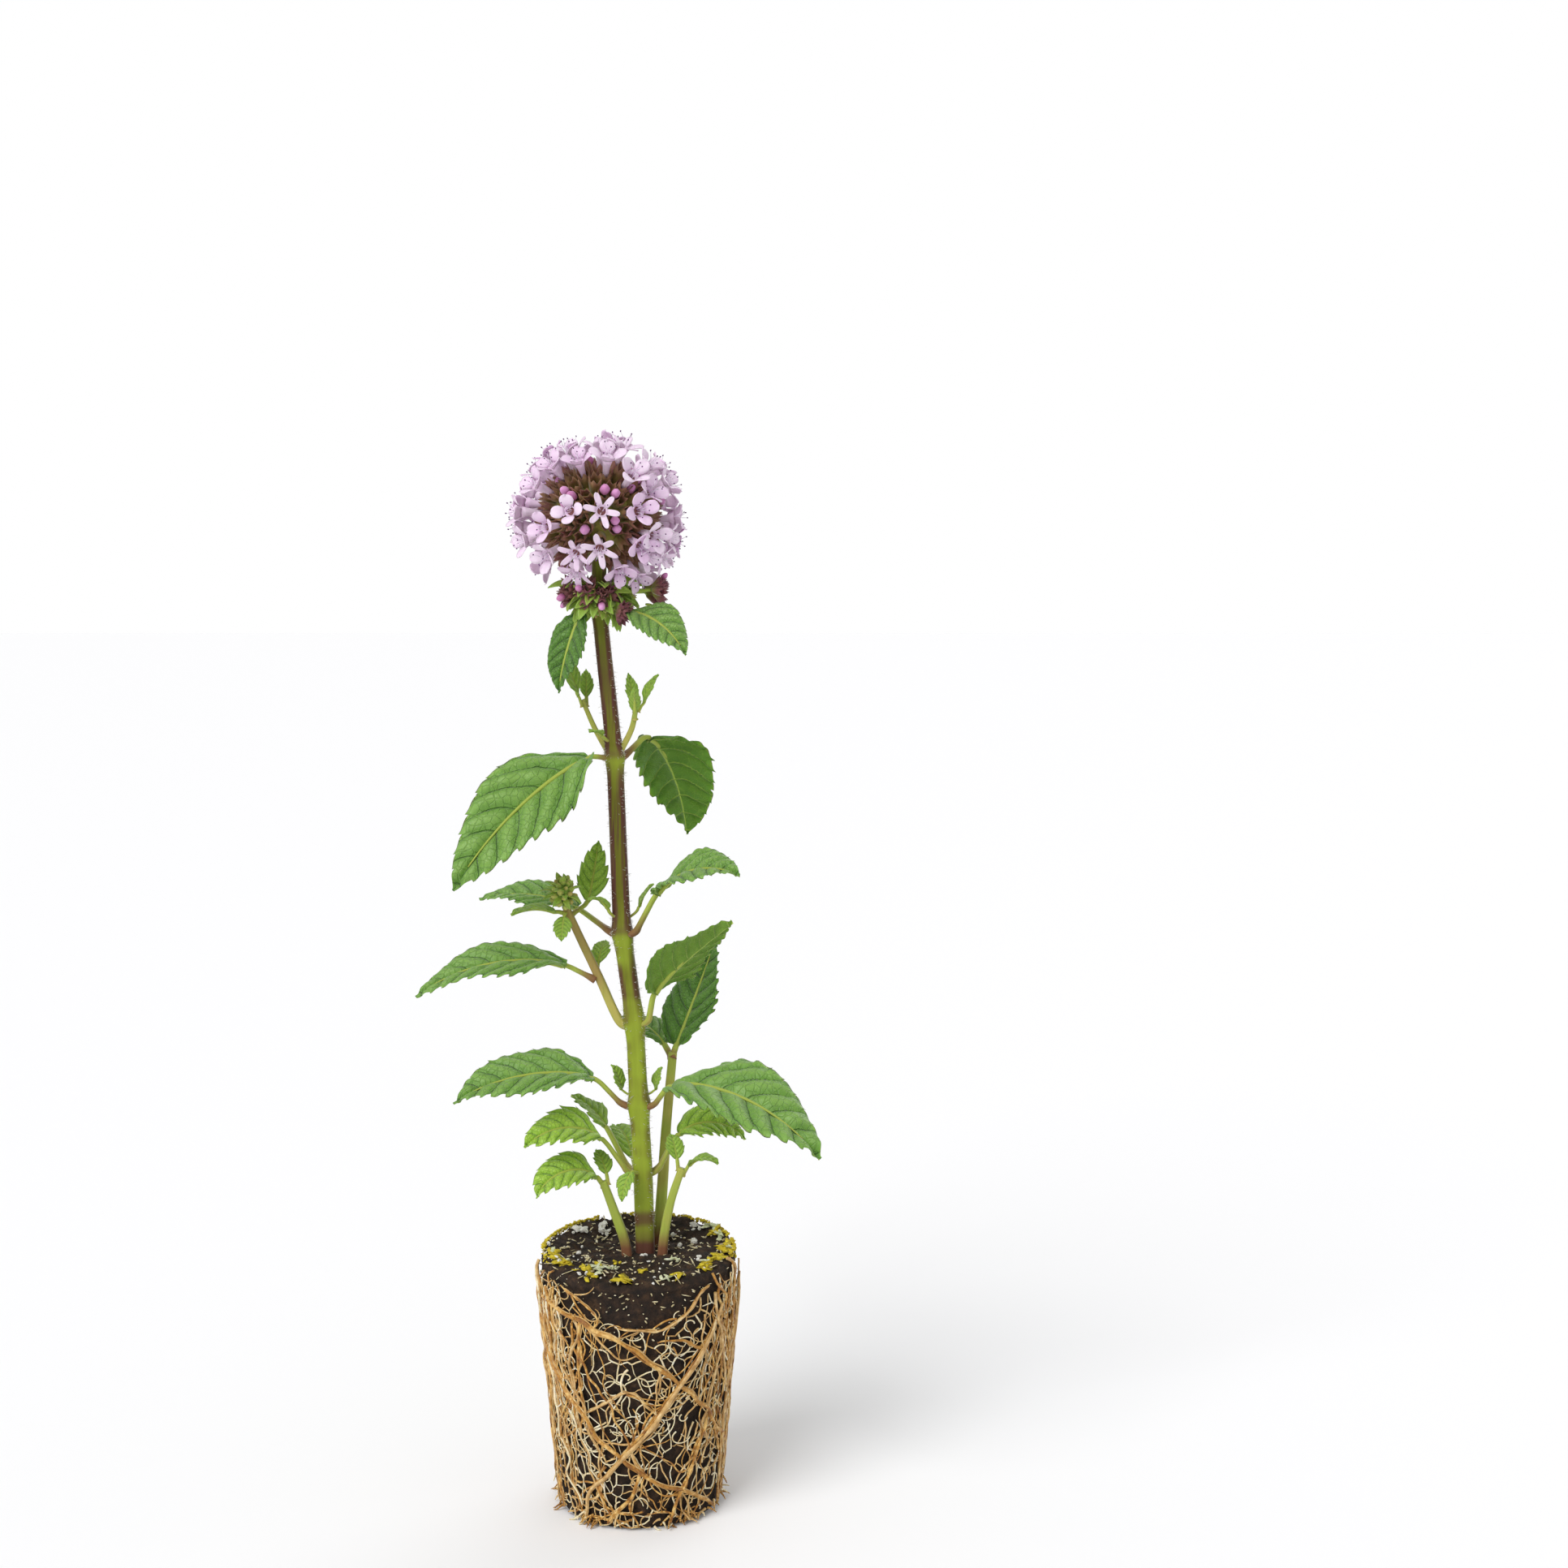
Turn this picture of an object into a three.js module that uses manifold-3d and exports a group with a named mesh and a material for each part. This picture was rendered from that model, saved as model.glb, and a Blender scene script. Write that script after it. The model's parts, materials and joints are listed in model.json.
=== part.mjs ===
// Water mint (Mentha aquatica) plug plant: one square main stem in a root-bound peat plug with no pot,
// opposite toothed leaves at four nodes, a budding side branch, young basal shoots, and a globe of
// florets over a whorl of buds.
// Millimetres, +Z up. The origin is the centre of the plug's flat base, +X is the plant's right and
// +Y its back. Azimuths are degrees from +X towards +Y, elevations are degrees above the horizon.
import * as THREE from 'three';
import { mergeVertices } from 'three/addons/utils/BufferGeometryUtils.js';
import Module from 'manifold-3d';

const wasm = await Module();
wasm.setup();

// Driving dimensions
const PLUG_TOP_RADIUS = 20;
const PLUG_BASE_RADIUS = 16;
const PLUG_HEIGHT = 49;
const ROOT_RADIUS = 0.65; // thick roots that wrap the plug
const ROOT_COUNT = 6;
const GAP = 0.3; // clearance between touching pieces
const SOCKET_DEPTH = 5; // how far each stem reaches into the plug
const STEM_CORNER = 1.1; // a mint stem is square: corner radius over mean radius
const NODE_SWELLING = 0.22; // share by which the stem thickens at a leaf joint
const NODE_REACH = 2.4; // how far that swelling runs along the stem
const LEAF_THICKNESS = 0.6;
const PETIOLE_THICKNESS = 1.0;
const HEAD_CENTRE = new THREE.Vector3(-6.4, 1, 190.4);
const HEAD_RADII = new THREE.Vector3(17, 17, 15.4); // to the tips of the open florets' stamens
const HEAD_CORE = 0.56; // share of those radii that is solid with calyces
const FLORET_COUNT = 37;
const WHORL_HEIGHT = 176.6;
// The stalked buds of that whorl: azimuth, elevation, and reach from the stem's centre line.
const WHORL_BUDS = [
  [18, 0, 11.5], [52, -10, 9.5], [85, 0, 9], [118, -8, 9], [152, 0, 9], [186, 0, 8.5],
  [212, 4, 9], [250, 2, 9], [278, -22, 10], [300, 0, 9], [343, 4, 13],
];

// The main stem's centre line and mean radius, straight between these heights.
const MAIN_STEM = [
  { z: PLUG_HEIGHT - SOCKET_DEPTH, x: 1.3, y: 1, r: 2.0 },
  { z: 65, x: 0.9, y: 1, r: 1.95 },
  { z: 78.4, x: 0.2, y: 1, r: 1.9 },
  { z: 94.5, x: -0.5, y: 1, r: 1.85 },
  { z: 111.9, x: -2.8, y: 1, r: 1.8 },
  { z: 145.7, x: -3.9, y: 1, r: 1.65 },
  { z: 174.3, x: -6.7, y: 1, r: 1.5 },
  { z: 186, x: -6.4, y: 1, r: 1.4 },
];
const NODE_HEIGHTS = [78.4, 94.5, 111.9, 145.7, 174.3];

// Finishes
const finish = (color, roughness) => new THREE.MeshStandardMaterial({ color, roughness, metalness: 0 });
const PEAT = finish(0x3a2a1e, 0.95);
const STEM = finish(0x8d8a4a, 0.55);
const LEAF = finish(0x4f8a3c, 0.5);
const YOUNG_LEAF = finish(0x86b04a, 0.5);
const FLOWER = finish(0xc9a0d8, 0.6);
const BUD = finish(0x6b3145, 0.6);

const plant = new THREE.Group();

function add(name, geometry, material) {
  const mesh = new THREE.Mesh(geometry, material);
  mesh.name = name;
  plant.add(mesh);
}

// Geometry helpers

function closed(geometry) {
  const bare = geometry.clone();
  bare.deleteAttribute('normal');
  bare.deleteAttribute('uv');
  return mergeVertices(bare, 1e-4);
}

function solidOf(geometry) {
  const merged = closed(geometry);
  return new wasm.Manifold(new wasm.Mesh({
    numProp: 3,
    vertProperties: new Float32Array(merged.attributes.position.array),
    triVerts: new Uint32Array(merged.index.array),
  }));
}

function geometryOf(solid) {
  const mesh = solid.getMesh();
  const geometry = new THREE.BufferGeometry();
  geometry.setAttribute('position', new THREE.BufferAttribute(mesh.vertProperties, 3));
  geometry.setIndex(new THREE.BufferAttribute(mesh.triVerts, 1));
  return geometry;
}

const fuse = (geometries) => geometries.map(solidOf).reduce((whole, piece) => whole.add(piece));

// Moves every vertex of a geometry to place(vertex).
function reshape(geometry, place) {
  const position = geometry.attributes.position;
  const vertex = new THREE.Vector3();
  for (let i = 0; i < position.count; i += 1) {
    vertex.fromBufferAttribute(position, i);
    position.setXYZ(i, ...place(vertex).toArray());
  }
  return geometry;
}

function heading(elevation, azimuth) {
  const e = THREE.MathUtils.degToRad(elevation);
  const a = THREE.MathUtils.degToRad(azimuth);
  return new THREE.Vector3(Math.cos(e) * Math.cos(a), Math.cos(e) * Math.sin(a), Math.sin(e));
}

// Main stem

function stemAt(z) {
  const upper = MAIN_STEM.findIndex((row, i) => i > 0 && z <= row.z);
  const b = MAIN_STEM[upper];
  const a = MAIN_STEM[upper - 1];
  const share = (z - a.z) / (b.z - a.z);
  const swell = NODE_HEIGHTS.reduce((sum, node) => sum + Math.exp(-(((z - node) / NODE_REACH) ** 2)), 0);
  return {
    centre: new THREE.Vector3(a.x + (b.x - a.x) * share, a.y + (b.y - a.y) * share, z),
    radius: (a.r + (b.r - a.r) * share) * (1 + NODE_SWELLING * swell),
  };
}

// A point just clear of the main stem at a height, on the side that an azimuth faces.
function onMainStem(z, azimuth, rise) {
  const { centre, radius } = stemAt(z);
  const lift = (PETIOLE_THICKNESS / 2) * Math.sin(THREE.MathUtils.degToRad(Math.abs(rise)));
  return centre.addScaledVector(heading(0, azimuth), radius * STEM_CORNER + GAP + lift);
}

const squareness = (angle) => 1 + (STEM_CORNER - 1) * -Math.cos(4 * angle);

function mainStem(extra = 0) {
  const heights = [MAIN_STEM[0].z - extra, PLUG_HEIGHT + 6, 65];
  for (const node of NODE_HEIGHTS) heights.push(node - NODE_REACH, node, node + NODE_REACH);
  heights.push(MAIN_STEM.at(-1).z + extra);
  const rows = heights.length - 1;
  return reshape(new THREE.CylinderGeometry(1, 1, 1, 8, rows), (v) => {
    const z = heights[Math.round((v.y + 0.5) * rows)];
    const { centre, radius } = stemAt(THREE.MathUtils.clamp(z, MAIN_STEM[0].z, MAIN_STEM.at(-1).z));
    const angle = Math.atan2(v.x, v.z);
    const r = Math.hypot(v.x, v.z) * (radius * squareness(angle) + extra);
    return new THREE.Vector3(centre.x + r * Math.sin(angle), centre.y - r * Math.cos(angle), z);
  });
}

// A side shoot: a round stem that tapers along a smooth curve through its points.
function shoot(points, startRadius, endRadius, extra = 0) {
  const path = new THREE.CatmullRomCurve3(points.map((p) => new THREE.Vector3(...p)));
  const rows = 6;
  const sides = 7;
  return reshape(new THREE.CylinderGeometry(1, 1, 1, sides, rows), (v) => {
    const t = v.y + 0.5;
    const along = path.getTangentAt(t);
    const across = new THREE.Vector3(0, 1, 0).cross(along).normalize();
    const back = across.clone().cross(along);
    const r = startRadius + (endRadius - startRadius) * t + extra;
    return path.getPointAt(t).addScaledVector(across, v.x * r).addScaledVector(back, v.z * r);
  });
}

// Leaves

// Half width of a mint leaf's blade at a share of its length, 1 at the widest.
function outline(t) {
  const widest = 0.38;
  return t < widest ? Math.sin((t / widest) * Math.PI / 2) ** 0.7 : 1 - ((t - widest) / (1 - widest)) ** 1.7;
}

// One leaf with its petiole, as one bent slab. The petiole leaves `from` at elevation `rise`; the
// blade's rib then turns evenly from elevation `start` to `end` and sideways by `sweep`. The halves
// stand up from the rib by `fold` degrees, and `roll` turns the blade about its rib.
function leaf({ from, azimuth, petiole, rise, blade, start, end, width, sweep = 0, fold = 14, roll = 0, teeth = 7 }) {
  const petioleRows = 2;
  const bladeRows = teeth * 2;
  const rows = petioleRows + bladeRows;
  const rib = [];
  const at = from.clone();
  for (let i = 0; i <= rows; i += 1) {
    const t = Math.max(0, (i - petioleRows) / bladeRows);
    const elevation = i < petioleRows ? rise : start + (end - start) * t;
    const turned = azimuth + sweep * t;
    const along = heading(elevation, turned);
    const flat = heading(0, turned + 90);
    const up = along.clone().cross(flat);
    const angle = THREE.MathUtils.degToRad(roll * Math.min(1, t * 4));
    const side = flat.clone().multiplyScalar(Math.cos(angle)).addScaledVector(up, Math.sin(angle));
    const normal = up.clone().multiplyScalar(Math.cos(angle)).addScaledVector(flat, -Math.sin(angle));
    rib.push({ at: at.clone(), side, normal, t, stalk: i <= petioleRows });
    const step = i < petioleRows ? petiole / petioleRows : blade / bladeRows;
    at.addScaledVector(along, step);
  }
  const raise = Math.sin(THREE.MathUtils.degToRad(fold));
  const spread = Math.cos(THREE.MathUtils.degToRad(fold));
  const stalkHalf = Math.min(0.55, width * 0.07);
  return reshape(new THREE.BoxGeometry(1, 1, 1, 2, rows, 1), (v) => {
    const row = Math.round((v.y + 0.5) * rows);
    const { at: centre, side, normal, t, stalk } = rib[row];
    const u = v.x * 2;
    const notch = Math.abs(u) === 1 && row % 2 === 0 ? 0.84 : 1;
    const half = stalk ? stalkHalf : Math.max(0.22, (width / 2) * outline(t) * notch);
    const thick = stalk ? PETIOLE_THICKNESS : LEAF_THICKNESS * (1 - 0.25 * Math.abs(u));
    const lift = stalk ? 0 : Math.abs(u) * half * raise;
    return centre.clone()
      .addScaledVector(side, -u * half * spread)
      .addScaledVector(normal, lift + v.z * thick);
  });
}

// Root ball with sockets for the stems

const plugRadius = (z) => PLUG_BASE_RADIUS + (PLUG_TOP_RADIUS - PLUG_BASE_RADIUS) * (z / PLUG_HEIGHT);

function peat() {
  const profile = [new THREE.Vector2(0, 0), new THREE.Vector2(PLUG_BASE_RADIUS - 1, 0)];
  for (const z of [1.2, 12, 24, 36, 46.5]) profile.push(new THREE.Vector2(plugRadius(z) - 0.5, z));
  profile.push(new THREE.Vector2(PLUG_TOP_RADIUS - 1.6, PLUG_HEIGHT));
  profile.push(new THREE.Vector2(10, PLUG_HEIGHT - 0.5));
  profile.push(new THREE.Vector2(0, PLUG_HEIGHT));
  return reshape(new THREE.LatheGeometry(profile, 22), (v) => {
    const angle = Math.atan2(v.z, v.x);
    const lumps = Math.sin(3 * angle + v.y / 5) + Math.sin(7 * angle - v.y / 3);
    const r = Math.hypot(v.x, v.z) * (1 + (v.y > 1.5 ? 0.009 * lumps : 0));
    return new THREE.Vector3(r * Math.cos(angle), -r * Math.sin(angle), v.y);
  });
}

// A thick root on the plug's side, from the rim down, turning round the plug as it goes.
function root(startAngle, turn, top) {
  const points = [];
  const steps = 5;
  for (let i = 0; i <= steps; i += 1) {
    const t = i / steps;
    const z = top + (1.2 - top) * t;
    const angle = THREE.MathUtils.degToRad(startAngle + turn * t + 9 * Math.sin(t * 7 + startAngle));
    const r = plugRadius(z) - 0.15;
    points.push(new THREE.Vector3(r * Math.cos(angle), r * Math.sin(angle), z));
  }
  const section = new THREE.Shape(new THREE.EllipseCurve(0, 0, ROOT_RADIUS, ROOT_RADIUS).getPoints(4));
  return new THREE.ExtrudeGeometry(section, { steps: 8, extrudePath: new THREE.CatmullRomCurve3(points) });
}

const SHOOTS = {
  basal_shoot_left: { points: [[-1.8, -1.3, 44], [-2.6, -1.5, 52], [-4.6, -1.8, 58.2], [-5.9, -2, 63.3]], r: 1.15 },
  basal_shoot_right: { points: [[4.4, -1.3, 44], [5, -1.5, 53], [6.3, -1.8, 59.8], [8.1, -2, 65.9]], r: 1.1 },
  tall_shoot: { points: [[3.3, 5, 44], [4.3, 5.7, 60], [5.2, 6.3, 73], [6.5, 7, 86.5]], r: 1.3 },
};

let plug = fuse([peat()]);
for (let i = 0; i < ROOT_COUNT; i += 1) {
  const turn = i % 2 === 0 ? 105 : -95;
  plug = plug.add(solidOf(root((360 / ROOT_COUNT) * i, turn, 45 - 5 * (i % 3))));
}
plug = plug.subtract(solidOf(mainStem(GAP)));
for (const { points, r } of Object.values(SHOOTS)) {
  const [foot, ...rest] = points;
  plug = plug.subtract(solidOf(shoot([[foot[0], foot[1], foot[2] - GAP], ...rest], r, r * 0.75, GAP)));
}
add('root_ball', geometryOf(plug), PEAT);
add('main_stem', mainStem(), STEM);
for (const [name, { points, r }] of Object.entries(SHOOTS)) add(`${name}_stem`, shoot(points, r, r * 0.75), STEM);

// Leaf pairs on the main stem, from the top down

const MAIN_LEAVES = {
  bract_left: { z: 173.3, azimuth: 225, petiole: 2, rise: -11, blade: 16, start: -58, end: -80, width: 8.5, roll: -15 },
  bract_right: { z: 173.3, azimuth: -35, petiole: 5, rise: 0, blade: 15.5, start: -4, end: -60, width: 9, sweep: 7, roll: 35 },
  leaf_4_left: { z: 145.7, azimuth: 210, petiole: 2.6, rise: 5, blade: 37, start: -25, end: -56, width: 17.5, roll: -42 },
  leaf_4_right: { z: 145.7, azimuth: 45, petiole: 6.8, rise: 34, blade: 23, start: -45, end: -85, width: 18, roll: -20 },
  leaf_3_left: { z: 111.9, azimuth: 150, petiole: 8.5, rise: 28, blade: 21, start: 18, end: -14, width: 10, sweep: 25, roll: -20 },
  leaf_3_right: { z: 111.9, azimuth: -35, petiole: 10, rise: 58, blade: 21, start: 46, end: -17, width: 13, roll: 25 },
  leaf_2_right: { z: 94.5, azimuth: -35, petiole: 6.5, rise: 78, blade: 22, start: 46, end: 38, width: 13, sweep: 25, roll: -26 },
  leaf_1_left: { z: 78.4, azimuth: 190, petiole: 7.8, rise: 48, blade: 28, start: 14, end: -30, width: 14, sweep: 6, roll: -24 },
  leaf_1_right: { z: 78.4, azimuth: -30, petiole: 6, rise: 52, blade: 35.5, start: 9, end: -46, width: 19, sweep: 4, roll: 18 },
};

// Young leaves in the joints and round the foot of the stem

const YOUNG_LEAVES = {
  axil_leaf_3_left: { z: 115.4, azimuth: 225, petiole: 1.5, rise: 70, blade: 6, start: 62, end: -10, width: 3.6 },
  axil_leaf_3_right: { z: 115.2, azimuth: 10, petiole: 1.5, rise: 72, blade: 5.5, start: 75, end: 40, width: 3 },
  axil_leaf_1_left: { z: 81.4, azimuth: 170, petiole: 1.2, rise: 72, blade: 5.5, start: 74, end: 35, width: 4 },
  axil_leaf_1_right: { z: 81.4, azimuth: 10, petiole: 1, rise: 74, blade: 4.5, start: 76, end: 60, width: 3.4 },
  axil_leaf_4_left: { z: 149, azimuth: 235, petiole: 1.2, rise: 50, blade: 4, start: 40, end: -10, width: 3.4 },
  basal_leaf_left: { z: 65, azimuth: 200, petiole: 10, rise: 56, blade: 15.5, start: 40, end: -44, width: 9, roll: -30 },
  basal_leaf_left_back: { z: 65, azimuth: 160, petiole: 9.5, rise: 60, blade: 9.5, start: 55, end: 20, width: 8 },
  basal_leaf_right: { z: 65, azimuth: 20, petiole: 8.5, rise: 60, blade: 14, start: 36, end: -52, width: 8.5, sweep: -20, roll: 30 },
  basal_leaf_front: { z: 65.5, azimuth: 238, petiole: 1, rise: 30, blade: 6.5, start: -30, end: -86, width: 4 },
  basal_leaf_back: { z: 62, azimuth: 115, petiole: 5, rise: 62, blade: 12, start: 55, end: -15, width: 6.5 },
};

function addMainStemLeaf(name, { z, ...shape }, material, teeth) {
  add(name, leaf({ from: onMainStem(z, shape.azimuth, shape.rise), teeth, ...shape }), material);
}

for (const [name, shape] of Object.entries(MAIN_LEAVES)) addMainStemLeaf(name, shape, LEAF, 7);
for (const [name, shape] of Object.entries(YOUNG_LEAVES)) addMainStemLeaf(name, shape, YOUNG_LEAF, 3);

// Leaves at the tips of the shoots; `over` lifts the leaf's foot clear of the shoot's end.

function addTipLeaf(name, tip, shape, material = YOUNG_LEAF, teeth = 3) {
  add(name, leaf({ from: new THREE.Vector3(...tip), teeth, ...shape }), material);
}

addTipLeaf('basal_leaf_left_low', [-7, -2.1, 64], { azimuth: 205, petiole: 1.4, rise: 55, blade: 14, start: 40, end: -66, width: 8.5, roll: -30 });
addTipLeaf('basal_leaf_left_low_inner', [-5.8, -1.8, 64.4], { azimuth: 120, petiole: 1, rise: 70, blade: 6, start: 60, end: 20, width: 4 });
addTipLeaf('basal_leaf_right_low', [9.2, -2.2, 66.2], { azimuth: -20, petiole: 1.2, rise: 60, blade: 7, start: 50, end: -35, width: 5.5 });
addTipLeaf('basal_leaf_right_low_inner', [7.7, -1.4, 67.1], { azimuth: 110, petiole: 1, rise: 70, blade: 6, start: 62, end: 25, width: 4 });
addTipLeaf('tall_shoot_leaf', [6.7, 6.9, 87.2], { azimuth: 50, petiole: 1.5, rise: 62, blade: 22, start: 58, end: 60, width: 13, fold: 10 }, LEAF, 7);
addTipLeaf('tall_shoot_leaf_back', [5.7, 7.9, 86.9], { azimuth: 140, petiole: 2, rise: 50, blade: 14, start: 45, end: -20, width: 8 });

// Shoots in the joints of the fourth leaf pair

add('axil_shoot_left_stem', shoot([[-6.6, 0.6, 148.6], [-7.6, 0.5, 151], [-9.6, 0.4, 155.5]], 0.6, 0.45), STEM);
addTipLeaf('axil_shoot_left_leaf', [-10.2, 0.2, 156.2], { azimuth: 195, petiole: 0.8, rise: 72, blade: 10, start: 74, end: 64, width: 4.5, roll: -50 });
addTipLeaf('axil_shoot_left_leaf_back', [-9.2, 1.5, 156.2], { azimuth: 95, petiole: 0.6, rise: 70, blade: 6, start: 68, end: 50, width: 3 });
add('axil_shoot_right_stem', shoot([[-1.7, 0.6, 148.2], [-0.6, 0.4, 151], [0.2, 0.2, 154.6]], 0.6, 0.5), STEM);
addTipLeaf('axil_shoot_right_leaf', [1.2, 0.1, 155.2], { azimuth: -15, petiole: 0.5, rise: 60, blade: 6.5, start: 72, end: 50, width: 3, roll: 50 });
addTipLeaf('axil_shoot_right_leaf_front', [0.1, -1, 153.8], { azimuth: 270, petiole: 0.5, rise: 60, blade: 5, start: 78, end: 64, width: 2.6 });
addTipLeaf('axil_shoot_right_leaf_back', [-0.2, 0.9, 155.2], { azimuth: 120, petiole: 0.5, rise: 72, blade: 6, start: 76, end: 62, width: 3 });

// Budding side branch at the second node

const BRANCH_TIP = new THREE.Vector3(-13.1, -1, 116.2);
add('branch_stem', shoot([[-3.75, 0.4, 95.4], [-7.2, 0, 103.4], [-10.9, -0.5, 111.6], BRANCH_TIP.toArray()], 1.0, 0.75), STEM);
addTipLeaf('branch_leaf', [-8.9, -0.4, 103.6], { azimuth: 185, petiole: 5, rise: 28, blade: 30, start: 14, end: -35, width: 12, sweep: 10, roll: -22 }, LEAF, 7);
addTipLeaf('branch_leaf_inner', [-7.6, 1.8, 104.8], { azimuth: 80, petiole: 1, rise: 60, blade: 7, start: 50, end: 10, width: 4 });
addTipLeaf('branch_bract_left', [-14.4, -1.2, 116.2], { azimuth: 190, petiole: 0.6, rise: 15, blade: 9, start: 20, end: -25, width: 7 });
addTipLeaf('branch_bract_right', [-12, -0.1, 115.7], { azimuth: 50, petiole: 4.2, rise: 20, blade: 12, start: 72, end: 80, width: 6.5, roll: 30 });
addTipLeaf('branch_bract_front', [-13.4, -2.3, 115.8], { azimuth: 262, petiole: 0.6, rise: -20, blade: 5, start: -50, end: -70, width: 4 });

// Clusters of small blunt cones round a solid core: the florets of the head, and the buds.

function cone(origin, direction, from, to, rootRadius, tipRadius, sides) {
  const turn = new THREE.Quaternion().setFromUnitVectors(new THREE.Vector3(0, 1, 0), direction);
  return new THREE.CylinderGeometry(tipRadius, rootRadius, to - from, sides, 1)
    .translate(0, (from + to) / 2, 0)
    .applyQuaternion(turn)
    .translate(...origin.toArray());
}

// Evenly spread directions over a sphere, from its top down to a lowest elevation.
function spread(count, lowest) {
  const directions = [];
  const golden = 137.508;
  const bottom = Math.sin(THREE.MathUtils.degToRad(lowest));
  for (let i = 0; i < count; i += 1) {
    const height = 1 - ((i + 0.5) / count) * (1 - bottom);
    directions.push(heading(THREE.MathUtils.radToDeg(Math.asin(height)), golden * i));
  }
  return directions;
}

function flowerHead() {
  const core = new THREE.IcosahedronGeometry(1, 1)
    .scale(HEAD_RADII.x * HEAD_CORE, HEAD_RADII.y * HEAD_CORE, HEAD_RADII.z * HEAD_CORE)
    .translate(...HEAD_CENTRE.toArray());
  const florets = spread(FLORET_COUNT, -52).map((direction) => {
    const reach = direction.clone().multiply(HEAD_RADII).length();
    return cone(HEAD_CENTRE, direction, reach * 0.4, reach, 1.2, 2.5, 5);
  });
  return fuse([core, ...florets]).subtract(solidOf(mainStem(GAP)));
}
add('flower_head', geometryOf(flowerHead()), FLOWER);

function budWhorl() {
  const { centre, radius } = stemAt(WHORL_HEIGHT);
  const inner = radius * STEM_CORNER + GAP;
  const collar = new THREE.LatheGeometry([
    new THREE.Vector2(inner, -1.2),
    new THREE.Vector2(inner + 2, -1.2),
    new THREE.Vector2(inner + 2, 0.9),
    new THREE.Vector2(inner, 0.9),
    new THREE.Vector2(inner, -1.2),
  ], 12).rotateX(Math.PI / 2).translate(...centre.toArray());
  const buds = WHORL_BUDS.map(([azimuth, elevation, reach]) => (
    cone(centre, heading(elevation, azimuth), inner + 1, reach, 0.5, 1.05, 4)
  ));
  return fuse([collar, ...buds]);
}
add('bud_whorl', geometryOf(budWhorl()), BUD);

function budCluster() {
  const centre = BRANCH_TIP.clone().add(new THREE.Vector3(-0.7, -0.1, 3.5));
  const core = new THREE.IcosahedronGeometry(1, 0).scale(2.1, 2.1, 2.6).translate(...centre.toArray());
  const buds = spread(14, -25).map((direction) => cone(centre, direction, 1, 3.4, 0.4, 0.7, 4));
  return fuse([core, ...buds]);
}
add('branch_bud_cluster', geometryOf(budCluster()), BUD);

export default plant;
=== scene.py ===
import json
import math
import random

import bmesh
import bpy
from mathutils import Euler, Matrix, Vector, noise
from mathutils.geometry import delaunay_2d_cdt

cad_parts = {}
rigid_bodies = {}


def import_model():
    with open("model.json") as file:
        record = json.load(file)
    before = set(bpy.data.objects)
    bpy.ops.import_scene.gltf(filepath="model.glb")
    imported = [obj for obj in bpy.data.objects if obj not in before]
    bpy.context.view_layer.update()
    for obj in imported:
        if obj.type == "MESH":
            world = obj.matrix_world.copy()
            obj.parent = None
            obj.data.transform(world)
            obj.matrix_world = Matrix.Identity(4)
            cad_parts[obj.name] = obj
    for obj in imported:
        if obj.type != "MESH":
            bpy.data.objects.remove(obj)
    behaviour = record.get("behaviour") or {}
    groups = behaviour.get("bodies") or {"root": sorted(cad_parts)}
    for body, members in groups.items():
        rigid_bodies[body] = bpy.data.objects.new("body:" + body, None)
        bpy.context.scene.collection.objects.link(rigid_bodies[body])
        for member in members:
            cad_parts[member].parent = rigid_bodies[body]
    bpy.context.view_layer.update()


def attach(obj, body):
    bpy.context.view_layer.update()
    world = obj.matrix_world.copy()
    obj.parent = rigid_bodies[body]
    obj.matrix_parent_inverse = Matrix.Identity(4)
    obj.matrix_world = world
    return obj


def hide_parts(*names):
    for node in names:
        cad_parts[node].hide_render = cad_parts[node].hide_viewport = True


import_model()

rng = random.Random(11)
TAU = 2 * math.pi
GOLDEN_ANGLE = 137.508  # degrees between one floret and the next up a head

# Sizes
PLUG_TOP_RADIUS = 20.0
PLUG_BASE_RADIUS = 16.0
PLUG_MEAN_RADIUS = 18.0  # roots are laid out on a flat sheet and rolled up at this radius
PLUG_HEIGHT = 49.0
HEAD_CENTRE = Vector((-6.4, 1.0, 190.4))
HEAD_RADII = Vector((16.4, 16.4, 14.8))  # to the lips of the open florets
WHORL_CENTRE = Vector((-6.7, 1.0, 176.4))
GAP = 0.3
BLADE_THICKNESS = 0.3

# Main stem: height, centre x, centre y, mean radius
MAIN_STEM = [
    (44.0, 1.3, 1.0, 2.0), (65.0, 0.9, 1.0, 1.95), (78.4, 0.2, 1.0, 1.9), (94.5, -0.5, 1.0, 1.85),
    (111.9, -2.8, 1.0, 1.8), (145.7, -3.9, 1.0, 1.65), (174.3, -6.7, 1.0, 1.5), (186.0, -6.4, 1.0, 1.4),
]
STEM_FOOT, STEM_TAPER, STEM_END = 46.0, 184.0, 187.0  # in the peat, where its end closes, in the flower head
# How fresh and green the main stem is: height, share
STEM_FRESH = [
    (44, 1.0), (76, 1.0), (79, 0.86), (83, 0.9), (92, 0.86), (96, 1.0), (98.5, 0.9), (100, 0.3), (104, 0.35),
    (107, 0.8), (111, 1.0), (114, 0.3), (119, 0.05), (138, 0.05), (142, 0.45), (145, 0.95), (148, 0.15),
    (158, 0.15), (166, 0.35), (172, 0.5), (187, 0.7),
]
NODE_HEIGHTS = (78.4, 94.5, 111.9, 145.7, 174.3)
NODE_SWELLING = 0.22
NODE_REACH = 2.4

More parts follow.
